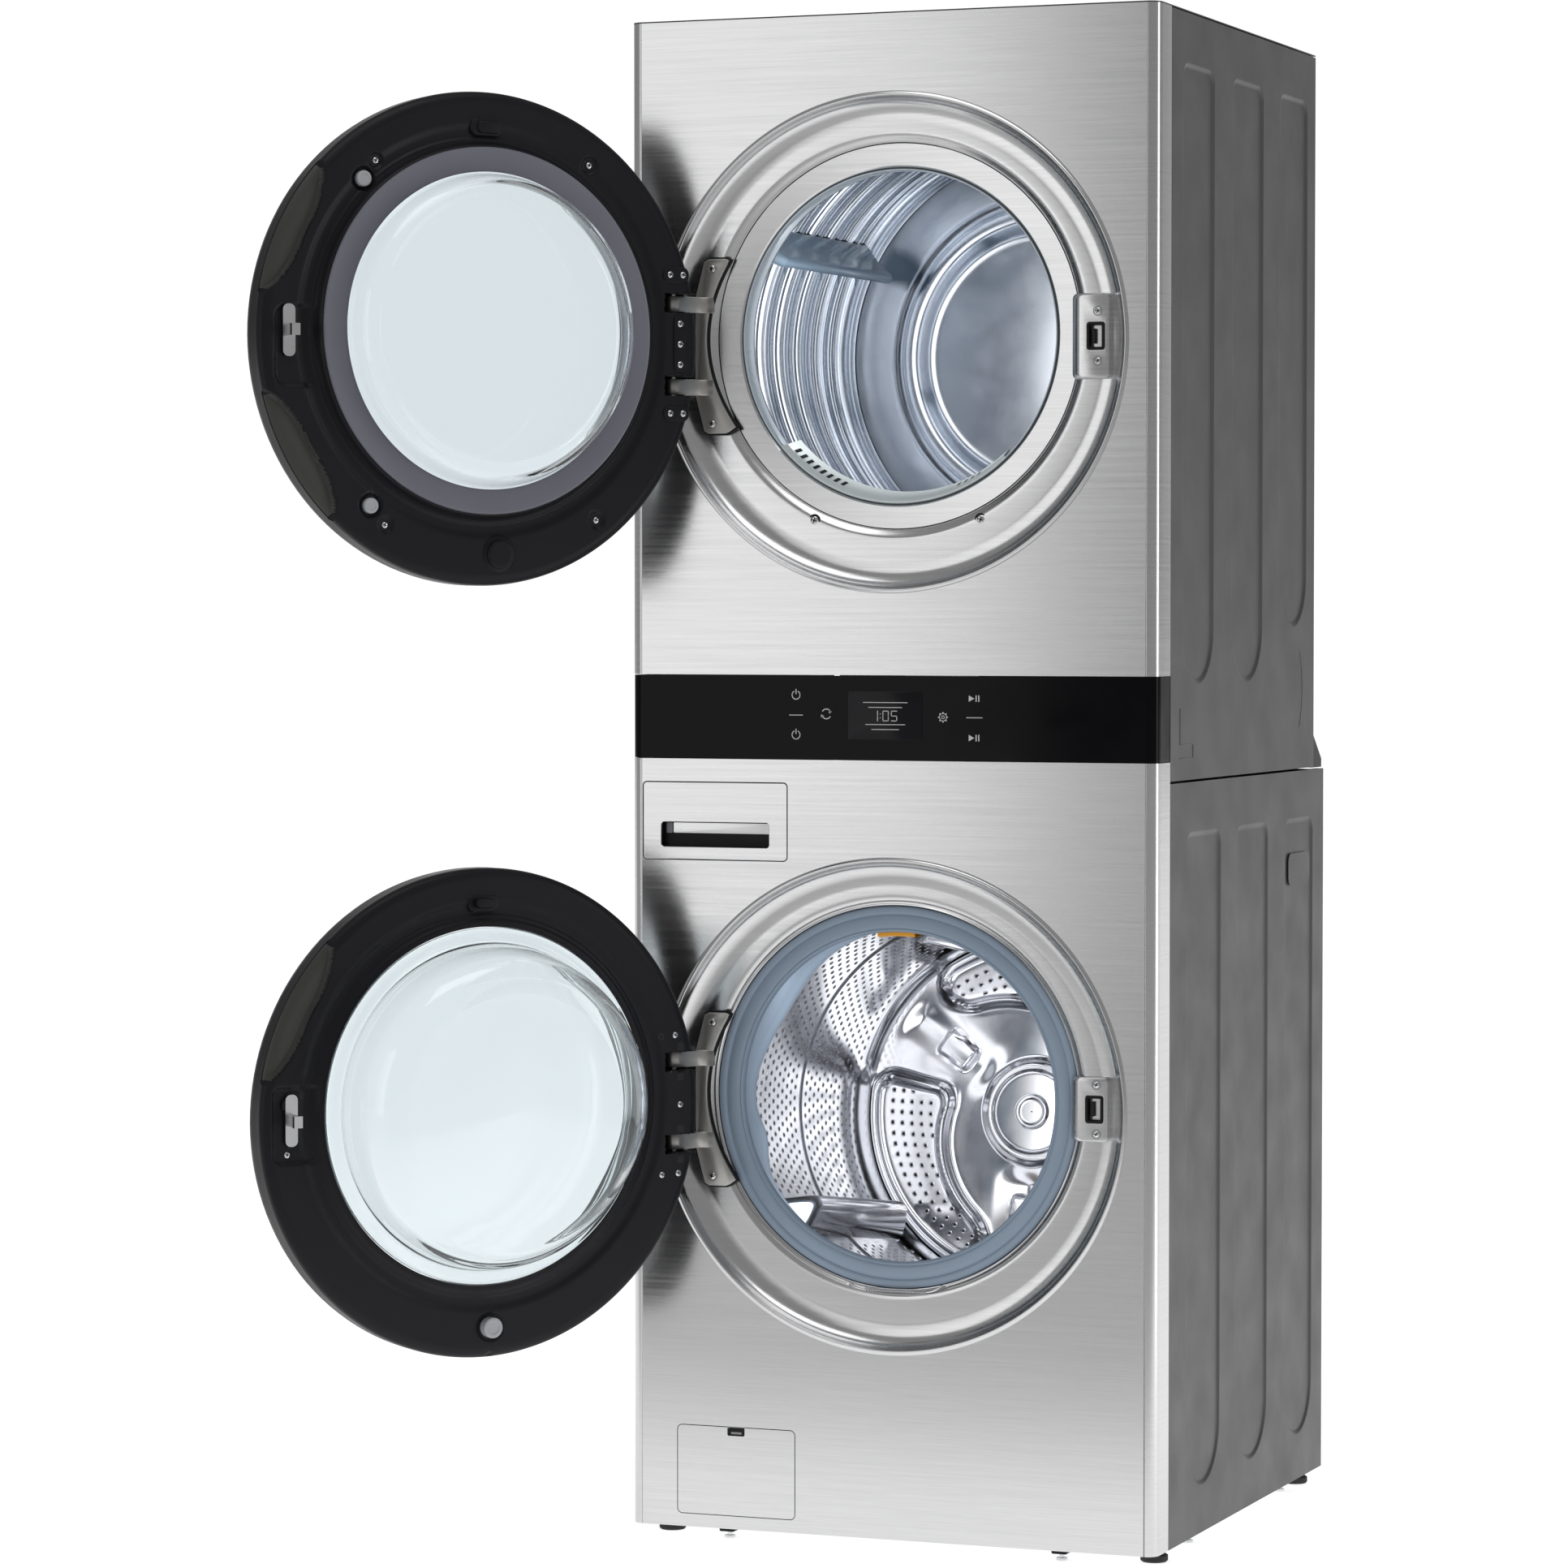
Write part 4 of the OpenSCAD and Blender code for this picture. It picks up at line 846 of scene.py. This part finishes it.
def lint_sill():
    """The lint filter's curved top, which lies along the bottom of the mouth, with its air slots."""
    build = Build()
    centre = facing(0, 0, AXIS_Z["dryer"])
    path = spline([(204.4, 32.4), (202.8, 31.4), (200.8, 33), (190.6, 67), (189.6, 71), (191.5, 73.5),
                   (200, 74)], 4)
    build.lathe(path, WHITE, centre, n=80, start=221, turn=92)
    lean = atan2(10, 34)
    for start, count, pitch, half in ((225, 8, 3.1, 3.6), (292, 4, 2.8, 2.8)):
        for k in range(count):
            a = radians(start + k * pitch)
            spin = centre @ Matrix.Rotation(-a, 4, "Y") @ Matrix.Translation((195.6, 50, 0))
            slot = spin @ Matrix.Rotation(lean - pi / 2, 4, "Z")
            build.pad(-9, 9, -half, half, 1.2, 0.8, -0.35, WHITE, slot, soft=0.4)
            build.pad(-7.4, 7.4, -half + 1.2, half - 1.2, 0.8, 0.2, -0.6, HOLE, slot, soft=0.1)
    build.make("lint_sill", "lint_filter", "white_plastic")


def rear_disc():
    """The dryer's flat rear wall with its large rolled ring."""
    build = Build()
    path = [(275, 601), (273, 604), (262, 605.4)]
    path += spline([(222, 606), (214, 604.5), (206, 598), (198, 592.5), (189, 590.6), (180, 592.5),
                    (172, 598.5), (165, 605), (158, 607.5), (150, 608)], 5) + [(70, 608), (0.02, 608)]
    for outline in (path, [(0.02, 617), (275, 617), (275, 601)]):
        build.lathe(outline, DRYER_STEEL, facing(0, 0, AXIS_Z["dryer"]), n=160)
    build.make("dryer_rear_disc", "cabinet", "polished_steel", ("dryer_rear_bulkhead",))


# ---- doors ----

def swing():
    """Carries a door built shut to its open place, in metres."""
    pin = Vector((PIN.x, PIN.y, 0))
    return Matrix.Translation(pin) @ Matrix.Rotation(-DOOR_TURN, 4, "Z") @ Matrix.Translation(-pin)


def cover_height(kind, x, z):
    """Depth of a door's inner cover, as a y value, at a place measured from the door's centre."""
    r = hypot(x, z)
    window = hypot(x, z - LIFT)
    y = COVER_Y
    y -= 9 * (1 - sqrt(max(0.0, 1 - max(0.0, (r - 283) / 14) ** 2)))
    y -= 2.2 * (1 - step(window, 246, 10)) * step(window, 232, 4)
    angle = degrees(atan2(z, x))
    for middle, half in GRIPS[kind]:
        y -= 8.5 * grip_weight(r, angle, middle, half)
    if kind == "dryer":
        y += 12 * (1 - step(window, 224.5, 6))
        pocket = box_distance(x, z, 249, -14, 28, 47, 14)
        y -= 3.0 * (1 - step(pocket, 0, 7)) * step(x, 228, 16)
    else:
        y += 3.0 * (1 - step(window, 226, 6))
        pocket = box_distance(x, z, 252, -2, 31, 45, 9)
        y -= 3.4 * (1 - step(pocket, 0, 5)) * step(x, 224, 8)
    for cx, cz, size, drop in cups(kind):
        y -= drop * (1 - step(hypot(x - cx, z - cz), size, 3.5))
    return y


def grip_weight(r, angle, middle, half):
    """1 inside a finger grip on the door's rim, falling to 0 at its curved edge."""
    away = abs(angle - middle) / half
    if away >= 1.0 or r < 255:
        return 0.0
    width = 32 * (1 - away ** 3.2)
    return step(r, DOOR_R - width, 3.5)


def cups(kind):
    """Sunken seats of a cover: x, z, radius and depth."""
    if kind == "dryer":
        return [(161, 186, 14, 4.5), (153, -202, 14, 4.5), (144, 208, 9, 3.0), (-145, 214, 10, 3.0),
                (133, -225, 9, 3.0), (-154, -217, 10, 3.0)]
    return [(-5, -260, 17, 2.5), (-5, -294, 3.2, 4.0)]


def door_cover(kind):
    """The moulded inner cover of a door with its grips, seats and bosses."""
    build = Build()
    z0 = DOOR_Z[kind]
    inner = 219.5 if kind == "dryer" else 217.5
    radii = [inner + k * 1.6 for k in range(11)] + [inner + 17.6 + k * 2.0 for k in range(26)]
    radii = [r for r in radii if r < 260] + [260 + k * 0.9 for k in range(41)]
    grid = []
    count = 1080
    for r in radii:
        ring = circle(0, LIFT * (1 - step(r, 258, 40)), r, count)
        grid.append([(x, cover_height(kind, x, z), z0 + z) for x, z in ring])
    rim = []
    for r, y in ((DOOR_R, 2.6), (DOOR_R + 0.2, 0.5), (DOOR_R, -2.2)):
        ring = circle(0, z0, r, count)
        rim.append([(x, min(y, edge[1]), z) for (x, z), edge in zip(ring, grid[-1])])
    middle, shrink = z0 + LIFT, 0.995
    lip = [[(x * shrink, y - 14, middle + (z - z0 - LIFT) * shrink) for x, y, z in grid[0]]]

    def finish(x, z):
        """The grips are grey; the rest keeps the cover's material."""
        r, angle = hypot(x, z - z0), degrees(atan2(z - z0, x))
        for middle, half in GRIPS[kind]:
            if grip_weight(r + 1.5, angle, middle, half) > 0.9 and abs(angle - middle) < half * 0.93:
                return GRIP
        return None

    def slotted(x, z):
        """The two slots that the hinge arms pass through."""
        return x < -249 and min(abs(z - z0 - s * HINGE_ARM) for s in (-1, 1)) < 12

    build.sheet(lip + grid + rim, DOOR_BLACK, finish)
    keep = []
    for face in build.faces:
        x = sum(build.verts[i].x for i in face) / len(face)
        z = sum(build.verts[i].z for i in face) / len(face)
        keep.append(not slotted(x, z))
    build.faces = [f for f, k in zip(build.faces, keep) if k]
    build.picks = [p for p, k in zip(build.picks, keep) if k]
    for s in (-1, 1):
        low, high = s * HINGE_ARM - 12, s * HINGE_ARM + 12
        well = [(x, z0 + z) for x, z in ((-296, low), (-249, low), (-249, high), (-296, high))]
        build.skin([at(y, well) for y in (COVER_Y - 1, WELL_Y)], BLACK, closed=False)
        build.add(at(WELL_Y, well), [[0, 1, 2, 3]], BLACK)
    return build


def bumper(build, x, y, z, r, tall, mat):
    """A round rubber bumper that stands out of the cover."""
    spot = facing(x, y, z, back=True)
    path = spline([(r, 0.5), (r, -tall + 1.6), (r - 0.5, -tall + 0.5), (r - 1.6, -tall), (r * 0.62, -tall),
                   (r * 0.58, -tall + 0.5), (r * 0.3, -tall + 0.6), (0.02, -tall + 0.6)], 3)
    build.lathe(path, mat, spot, n=32)


def dryer_cover():
    """The dryer door's cover with its latch boss, bumpers and screws."""
    build = door_cover("dryer")
    z0 = DOOR_Z["dryer"]
    back = facing(0, 0, z0, back=True)
    build.pad(-19, 25, 243, 265, 9, -COVER_Y + 0.5, -COVER_Y - 2.0, DOOR_BLACK, back, soft=2.4)
    build.pad(-10, 21, 246.5, 261.5, 6, -COVER_Y - 1.5, -COVER_Y - 4.6, DOOR_BLACK, back, soft=2.0)
    boss = facing(-19, COVER_Y, z0 - 259, back=True)
    build.lathe(spline([(23, 0.6), (22.4, -0.6), (18.5, -2.2), (17, -2.4)], 4), DOOR_BLACK, boss, n=48)
    build.lathe(spline([(17.4, -1.0), (17.2, -3.8), (15.6, -5.2), (12, -5.4), (0.02, -5.4)], 4),
                DOOR_BLACK, boss, n=48)
    build.pad(261, 280, -34, 36, 7, -COVER_Y + 0.5, -COVER_Y - 1.8, DOOR_BLACK, back, soft=1.6)
    for s in (-1, 1):
        build.pad(246, 283, s * 85 - 10, s * 85 + 10, 9.6, -COVER_Y + 0.8, -COVER_Y - 1.6, DOOR_BLACK,
                  back, soft=1.6)
    build.make("dryer_door_cover", "dryer_door", "black_plastic", ("dryer_door_inner",),
               swing(), closed=False)
    trim = Build()
    for x, z in ((161, 186), (153, -202)):
        bumper(trim, x, COVER_Y - 4.6, z0 + z, 9.4, 7.5, CAP_GREY)
    spots = [(144, 208, 3.2), (-145, 214, 3.2), (133, -225, 3.2), (-154, -217, 3.2),
             (-256, 85, -1.4), (-274, 85, -1.4), (-256, -85, -1.4), (-274, -85, -1.4),
             (-270, 25, -1.6), (-270, 0, -1.6), (-270, -25, -1.6)]
    for x, z, sunk in spots:
        screw(trim, facing(x, COVER_Y - sunk, z0 + z, back=True), 4.2)
    trim.make("dryer_door_trim", "dryer_door", "polished_steel", place=swing())


def washer_cover():
    """The washer door's cover with its catch, bumper and screws."""
    build = door_cover("washer")
    z0 = DOOR_Z["washer"]
    back = facing(0, 0, z0, back=True)
    build.pad(-24, 18, 244, 264, 8, -COVER_Y + 0.5, -COVER_Y - 1.2, DOOR_BLACK, back, soft=1.6)
    build.pad(-17, 8, 249, 261, 5.5, -COVER_Y, -COVER_Y - 10.5, DOOR_BLACK, back, soft=2.0)
    build.pad(-272, -252, 17, 28, 3, -COVER_Y + 4, -COVER_Y - 1.5, BLACK, back, soft=1.2)
    for z in (-24, 14):
        build.pad(-263, -258, z - 4, z + 4, 0.6, -COVER_Y + 4, -COVER_Y + 2.9, HOLE, back, soft=0.2)
    for z in (70, -70, 32, -32):
        build.pad(266, 275, z - 4.5, z + 4.5, 1.2, -COVER_Y + 2, -COVER_Y - 0.25, HOLE, back, soft=0.2)
    build.make("washer_door_cover", "washer_door", "black_plastic", ("washer_door_inner",),
               swing(), closed=False)
    trim = Build()
    bumper(trim, -5, COVER_Y - 2.6, z0 - 260, 12.5, 12.0, CAP_GREY)
    spots = [(261, 31, 3.2), (264, -37, 3.2), (-263, 84, 0.0), (-270, -2, 0.0), (-244, -88, 0.0),
             (-267, -87, 0.0)]
    for x, z, sunk in spots:
        screw(trim, facing(x, COVER_Y - sunk, z0 + z, back=True), 4.0)
    hole = facing(-243, COVER_Y, z0 + 83, back=True)
    trim.lathe([(4.6, 0.3), (4.4, -0.2), (3.8, -0.2), (0.02, 0.4)], HOLE, hole, n=20)
    trim.make("washer_door_trim", "washer_door", "polished_steel", place=swing())


def dryer_window():
    """The dryer's glass dish and the tinted ring round it."""
    z = AXIS_Z["dryer"]
    ring = Build()
    ring.lathe(spline([(220, 16), (220.4, 24.5), (219.4, 27.2), (217.5, 27.9), (205, 27.6), (193, 27.0),
                       (190, 26.2)], 4), RING_GREY, facing(0, 0, z), n=200)
    ring.make("dryer_window_ring", "dryer_door", "grey_plastic", place=swing(), closed=False)
    dish = Build()
    outside = spline([(190.5, 27.4), (188.6, 30), (187, 36), (183.5, 48), (180.6, 56), (177.6, 59.6),
                      (173.6, 61.4), (168, 61.8), (160, 60.6), (152, 60.2)], 4) + [(90, 60.0), (0.02, 60.0)]
    inside = [(0.02, 56), (90, 56), (150, 56.2), (170, 57), (175, 54.6), (179, 47), (183, 35), (185, 28),
              (188, 25.5), (190.5, 25.2)]
    dish.lathe(outside + inside, CLEAR, facing(0, 0, z), n=160)
    dish.make("dryer_window_dish", "dryer_door", "clear_glass", ("dryer_door_bowl",), swing())


def washer_window():
    """The washer's glass bowl, cut back at the bottom."""
    z = AXIS_Z["washer"]
    bowl = Build()
    outside = spline([(215.6, 9), (216, 14), (215, 17), (211, 18.4), (203, 18.6), (199.4, 21), (197, 30),
                      (194, 50), (188, 74), (182, 88), (174, 96.5), (164, 100.4), (152, 101.6),
                      (140, 101)], 4) + [(80, 100.6), (0.02, 100.6)]
    inside = [(0.02, 96), (80, 96), (140, 96.2), (160, 94.8), (170, 91), (177, 84), (183, 72), (189, 50),
              (192, 30), (194, 16), (199, 12), (206, 9), (215.6, 9)]
    bowl.lathe(outside + inside, CLEAR, facing(0, 0, z), n=160)
    for v in bowl.verts:
        low = max(0.0, -(v.z - z) - 30)
        v.y -= 0.16 * low * step(v.y, 70, 40)
    bowl.make("washer_window_bowl", "washer_door", "clear_glass", ("washer_door_bowl",), swing())


# ---- controls ----

def controls():
    """Icons and the display, drawn as thin printed shapes on the black glass."""
    build = Build()
    base, ink = 0.1, -0.14

    def mark(x0, x1, z0, z1):
        build.pad(x0, x1, z0, z1, 0.3, base, ink, PRINT, soft=0.05)

    def ring(x, z, r, start=0, turn=360, thick=1.1):
        outer, inner = r + thick / 2, r - thick / 2
        path = [(outer, base), (outer, ink), (inner, ink), (inner, base)]
        build.lathe(path, PRINT, facing(x, 0, z), n=28, start=start, turn=turn)

    def triangle(x, z, size):
        points = [(x - size * 0.5, z - size * 0.6), (x + size * 0.6, z), (x - size * 0.5, z + size * 0.6)]
        build.raised([(points, base), (points, ink)], PRINT)

    for z in (1056, 1007):
        ring(-122, z, 5.2, 115, 310)
        mark(-122.6, -121.4, z + 1, z + 7.5)
    mark(-131, -113, 1030.8, 1031.8)
    for start in (20, 200):
        ring(-82, 1033, 6, start, 130, 1.2)
    for sx in (-1, 1):
        triangle(-82 + sx * 5.2, 1033 + sx * 2.6, 3.4)
    ring(70, 1030, 4.6, thick=0.8)
    ring(70, 1030, 1.8, thick=0.8)
    for k in range(8):
        a = k * pi / 4
        tooth = facing(70, 0, 1030) @ Matrix.Rotation(-a, 4, "Y")
        build.pad(4.9, 6.4, -0.8, 0.8, 0.3, base, ink, PRINT, tooth, soft=0.05)
    for z in (1053, 1005):
        triangle(106.5, z, 6.5)
        for x in (112, 115.4):
            mark(x, x + 1.5, z - 4, z + 4)
    mark(100, 121, 1029.2, 1030.2)
    for z, width in ((1047, 58), (1041, 44), (1020, 52), (1014, 36)):
        mark(-5 - width / 2, -5 + width / 2, z, z + 0.9)
    w, h = 7, 12
    bars = {"a": (0, w, h, h), "b": (w, w, h / 2, h), "c": (w, w, 0, h / 2), "d": (0, w, 0, 0),
            "e": (0, 0, 0, h / 2), "f": (0, 0, h / 2, h), "g": (0, w, h / 2, h / 2)}
    segments = {"0": "abcdef", "1": "bc", "5": "acdfg"}
    for place, digit in ((-22, "1"), (-8, "0"), (3, "5")):
        for name in segments[digit]:
            x0, x1, z0, z1 = bars[name]
            mark(place + x0 - 0.5, place + x1 + 0.5, 1025 + z0 - 0.5, 1025 + z1 + 0.5)
    for z in (1028.5, 1033):
        mark(-12, -11, z, z + 1)
    build.make("control_print", "cabinet", "black_glass")
    screen = Build()
    screen.pad(-53.5, 43, 1002, 1061, 2, 0.1, -0.10, SCREEN, soft=0.08)
    screen.make("display_window", "cabinet", "black_glass")


# ---- floor, light and camera ----

def area_light(name, place, target, size, power):
    """A soft white panel light, in metres and watts, that the camera doesn't see."""
    light = bpy.data.lights.new(name, "AREA")
    light.shape = "RECTANGLE"
    light.size, light.size_y = size
    light.energy = power
    obj = bpy.data.objects.new(name, light)
    obj.location = place
    obj.rotation_euler = (Vector(target) - Vector(place)).to_track_quat("-Z", "Y").to_euler()
    bpy.context.scene.collection.objects.link(obj)
    obj.visible_camera = False


def pale_floor():
    """A pale floor that glows more round and behind the stack than in front of it."""
    bpy.ops.mesh.primitive_plane_add(size=60)
    floor = bpy.context.object
    floor.name = "floor"
    mat, shader = principled("pale_floor", (0.9, 0.9, 0.9), 0.7)
    tint(mat, shader, noise(mat, 0.5), (0.89, 0.89, 0.89), (0.91, 0.91, 0.91))
    shader.inputs["Emission Color"].default_value = (1, 1, 1, 1)
    tree = mat.node_tree
    split = tree.nodes.new("ShaderNodeSeparateXYZ")
    place = tree.nodes.new("ShaderNodeTexCoord")
    tree.links.new(place.outputs["Object"], split.inputs[0])
    glow = map_range(tree, split.outputs["Y"], (-1.6, -0.5), (0.1, 0.75))
    tree.links.new(glow.outputs["Result"], shader.inputs["Emission Strength"])
    floor.data.materials.append(mat)


def sky():
    """A sky that is white straight behind the stack and grey elsewhere."""
    world = bpy.data.worlds.new("studio")
    world.use_nodes = True
    tree = world.node_tree
    place = tree.nodes.new("ShaderNodeTexCoord")
    toward = tree.nodes.new("ShaderNodeVectorMath")
    toward.operation = "DOT_PRODUCT"
    toward.inputs[1].default_value = (-sin(VIEW_TURN), cos(VIEW_TURN), 0)
    tree.links.new(place.outputs["Generated"], toward.inputs[0])
    ramp = map_range(tree, toward.outputs["Value"], (0.74, 0.93), (0.30, 1.05))
    ramp.interpolation_type = "SMOOTHSTEP"
    background = tree.nodes["Background"]
    tree.links.new(ramp.outputs["Result"], background.inputs["Color"])
    background.inputs["Strength"].default_value = 1.0
    bpy.context.scene.world = world


def lights():
    """A panel at the front left, a strip at the right, one overhead and one in each drum's mouth."""
    area_light("key", place=(-2.2, -4.0, 1.7), target=(-0.3, 0, 1.2), size=(2.0, 2.9), power=17.5)
    area_light("strip", place=(3.4, 0.5, 1.1), target=(0.3, 0.3, 1.0), size=(0.8, 2.8), power=20)
    area_light("top", place=(0.4, -1.2, 4.2), target=(0, 0, 1.0), size=(2.8, 1.6), power=24)
    for kind, height in AXIS_Z.items():
        z = height * MM
        area_light(kind + "_mouth", place=(-0.02, 0.042, z), target=(-0.02, 1, z), size=(0.28, 0.28),
                   power=0.42)


def camera():
    """The view of the stack: from the front right, a little above its middle."""
    data = bpy.data.cameras.new("camera")
    data.sensor_width = 36
    data.lens = LENS
    obj = bpy.data.objects.new("camera", data)
    obj.location = VIEW_PLACE
    obj.rotation_euler = (pi / 2 - VIEW_TILT, 0, VIEW_TURN)
    bpy.context.scene.collection.objects.link(obj)
    bpy.context.scene.camera = obj


def opening(box, r):
    """The outline of a front panel's opening, 1 mm wider than its lid on every side."""
    return round_rect(box[0].x - 1, box[1].x + 1, box[0].z - 1, box[1].z + 1, r)


camera()
pale_floor()
sky()
lights()
front_sheet("dryer", BAND[1] + 0.8, BODY_H - 1.7, [])
front_sheet("washer", UNDERSIDE, BAND[0] - 0.8, [opening(DRAWER, 6), opening(FLAP, 7)])
latch_pad("dryer", 52)
latch_pad("washer", 40)
for side in (-1, 1):
    side_sheet("dryer", side, DEPTH["dryer"], SEAM + 2, BODY_H - 3, DRYER_BEADS)
    side_sheet("washer", side, DEPTH["washer"], UNDERSIDE, SEAM - 1, WASHER_BEADS)
for kind in DOOR_Z:
    hinge_plate(kind)
drawer_front()
flap_clip()
underside_feet()
panel_screws()
gasket()
drum_lamp()
clamp_spring()
washer_drum()
washer_lifters()
dryer_drum()
dryer_vanes()
mouth_collar()
lint_sill()
rear_disc()
dryer_cover()
washer_cover()
dryer_window()
washer_window()
controls()
bpy.context.scene.view_settings.view_transform = "Standard"
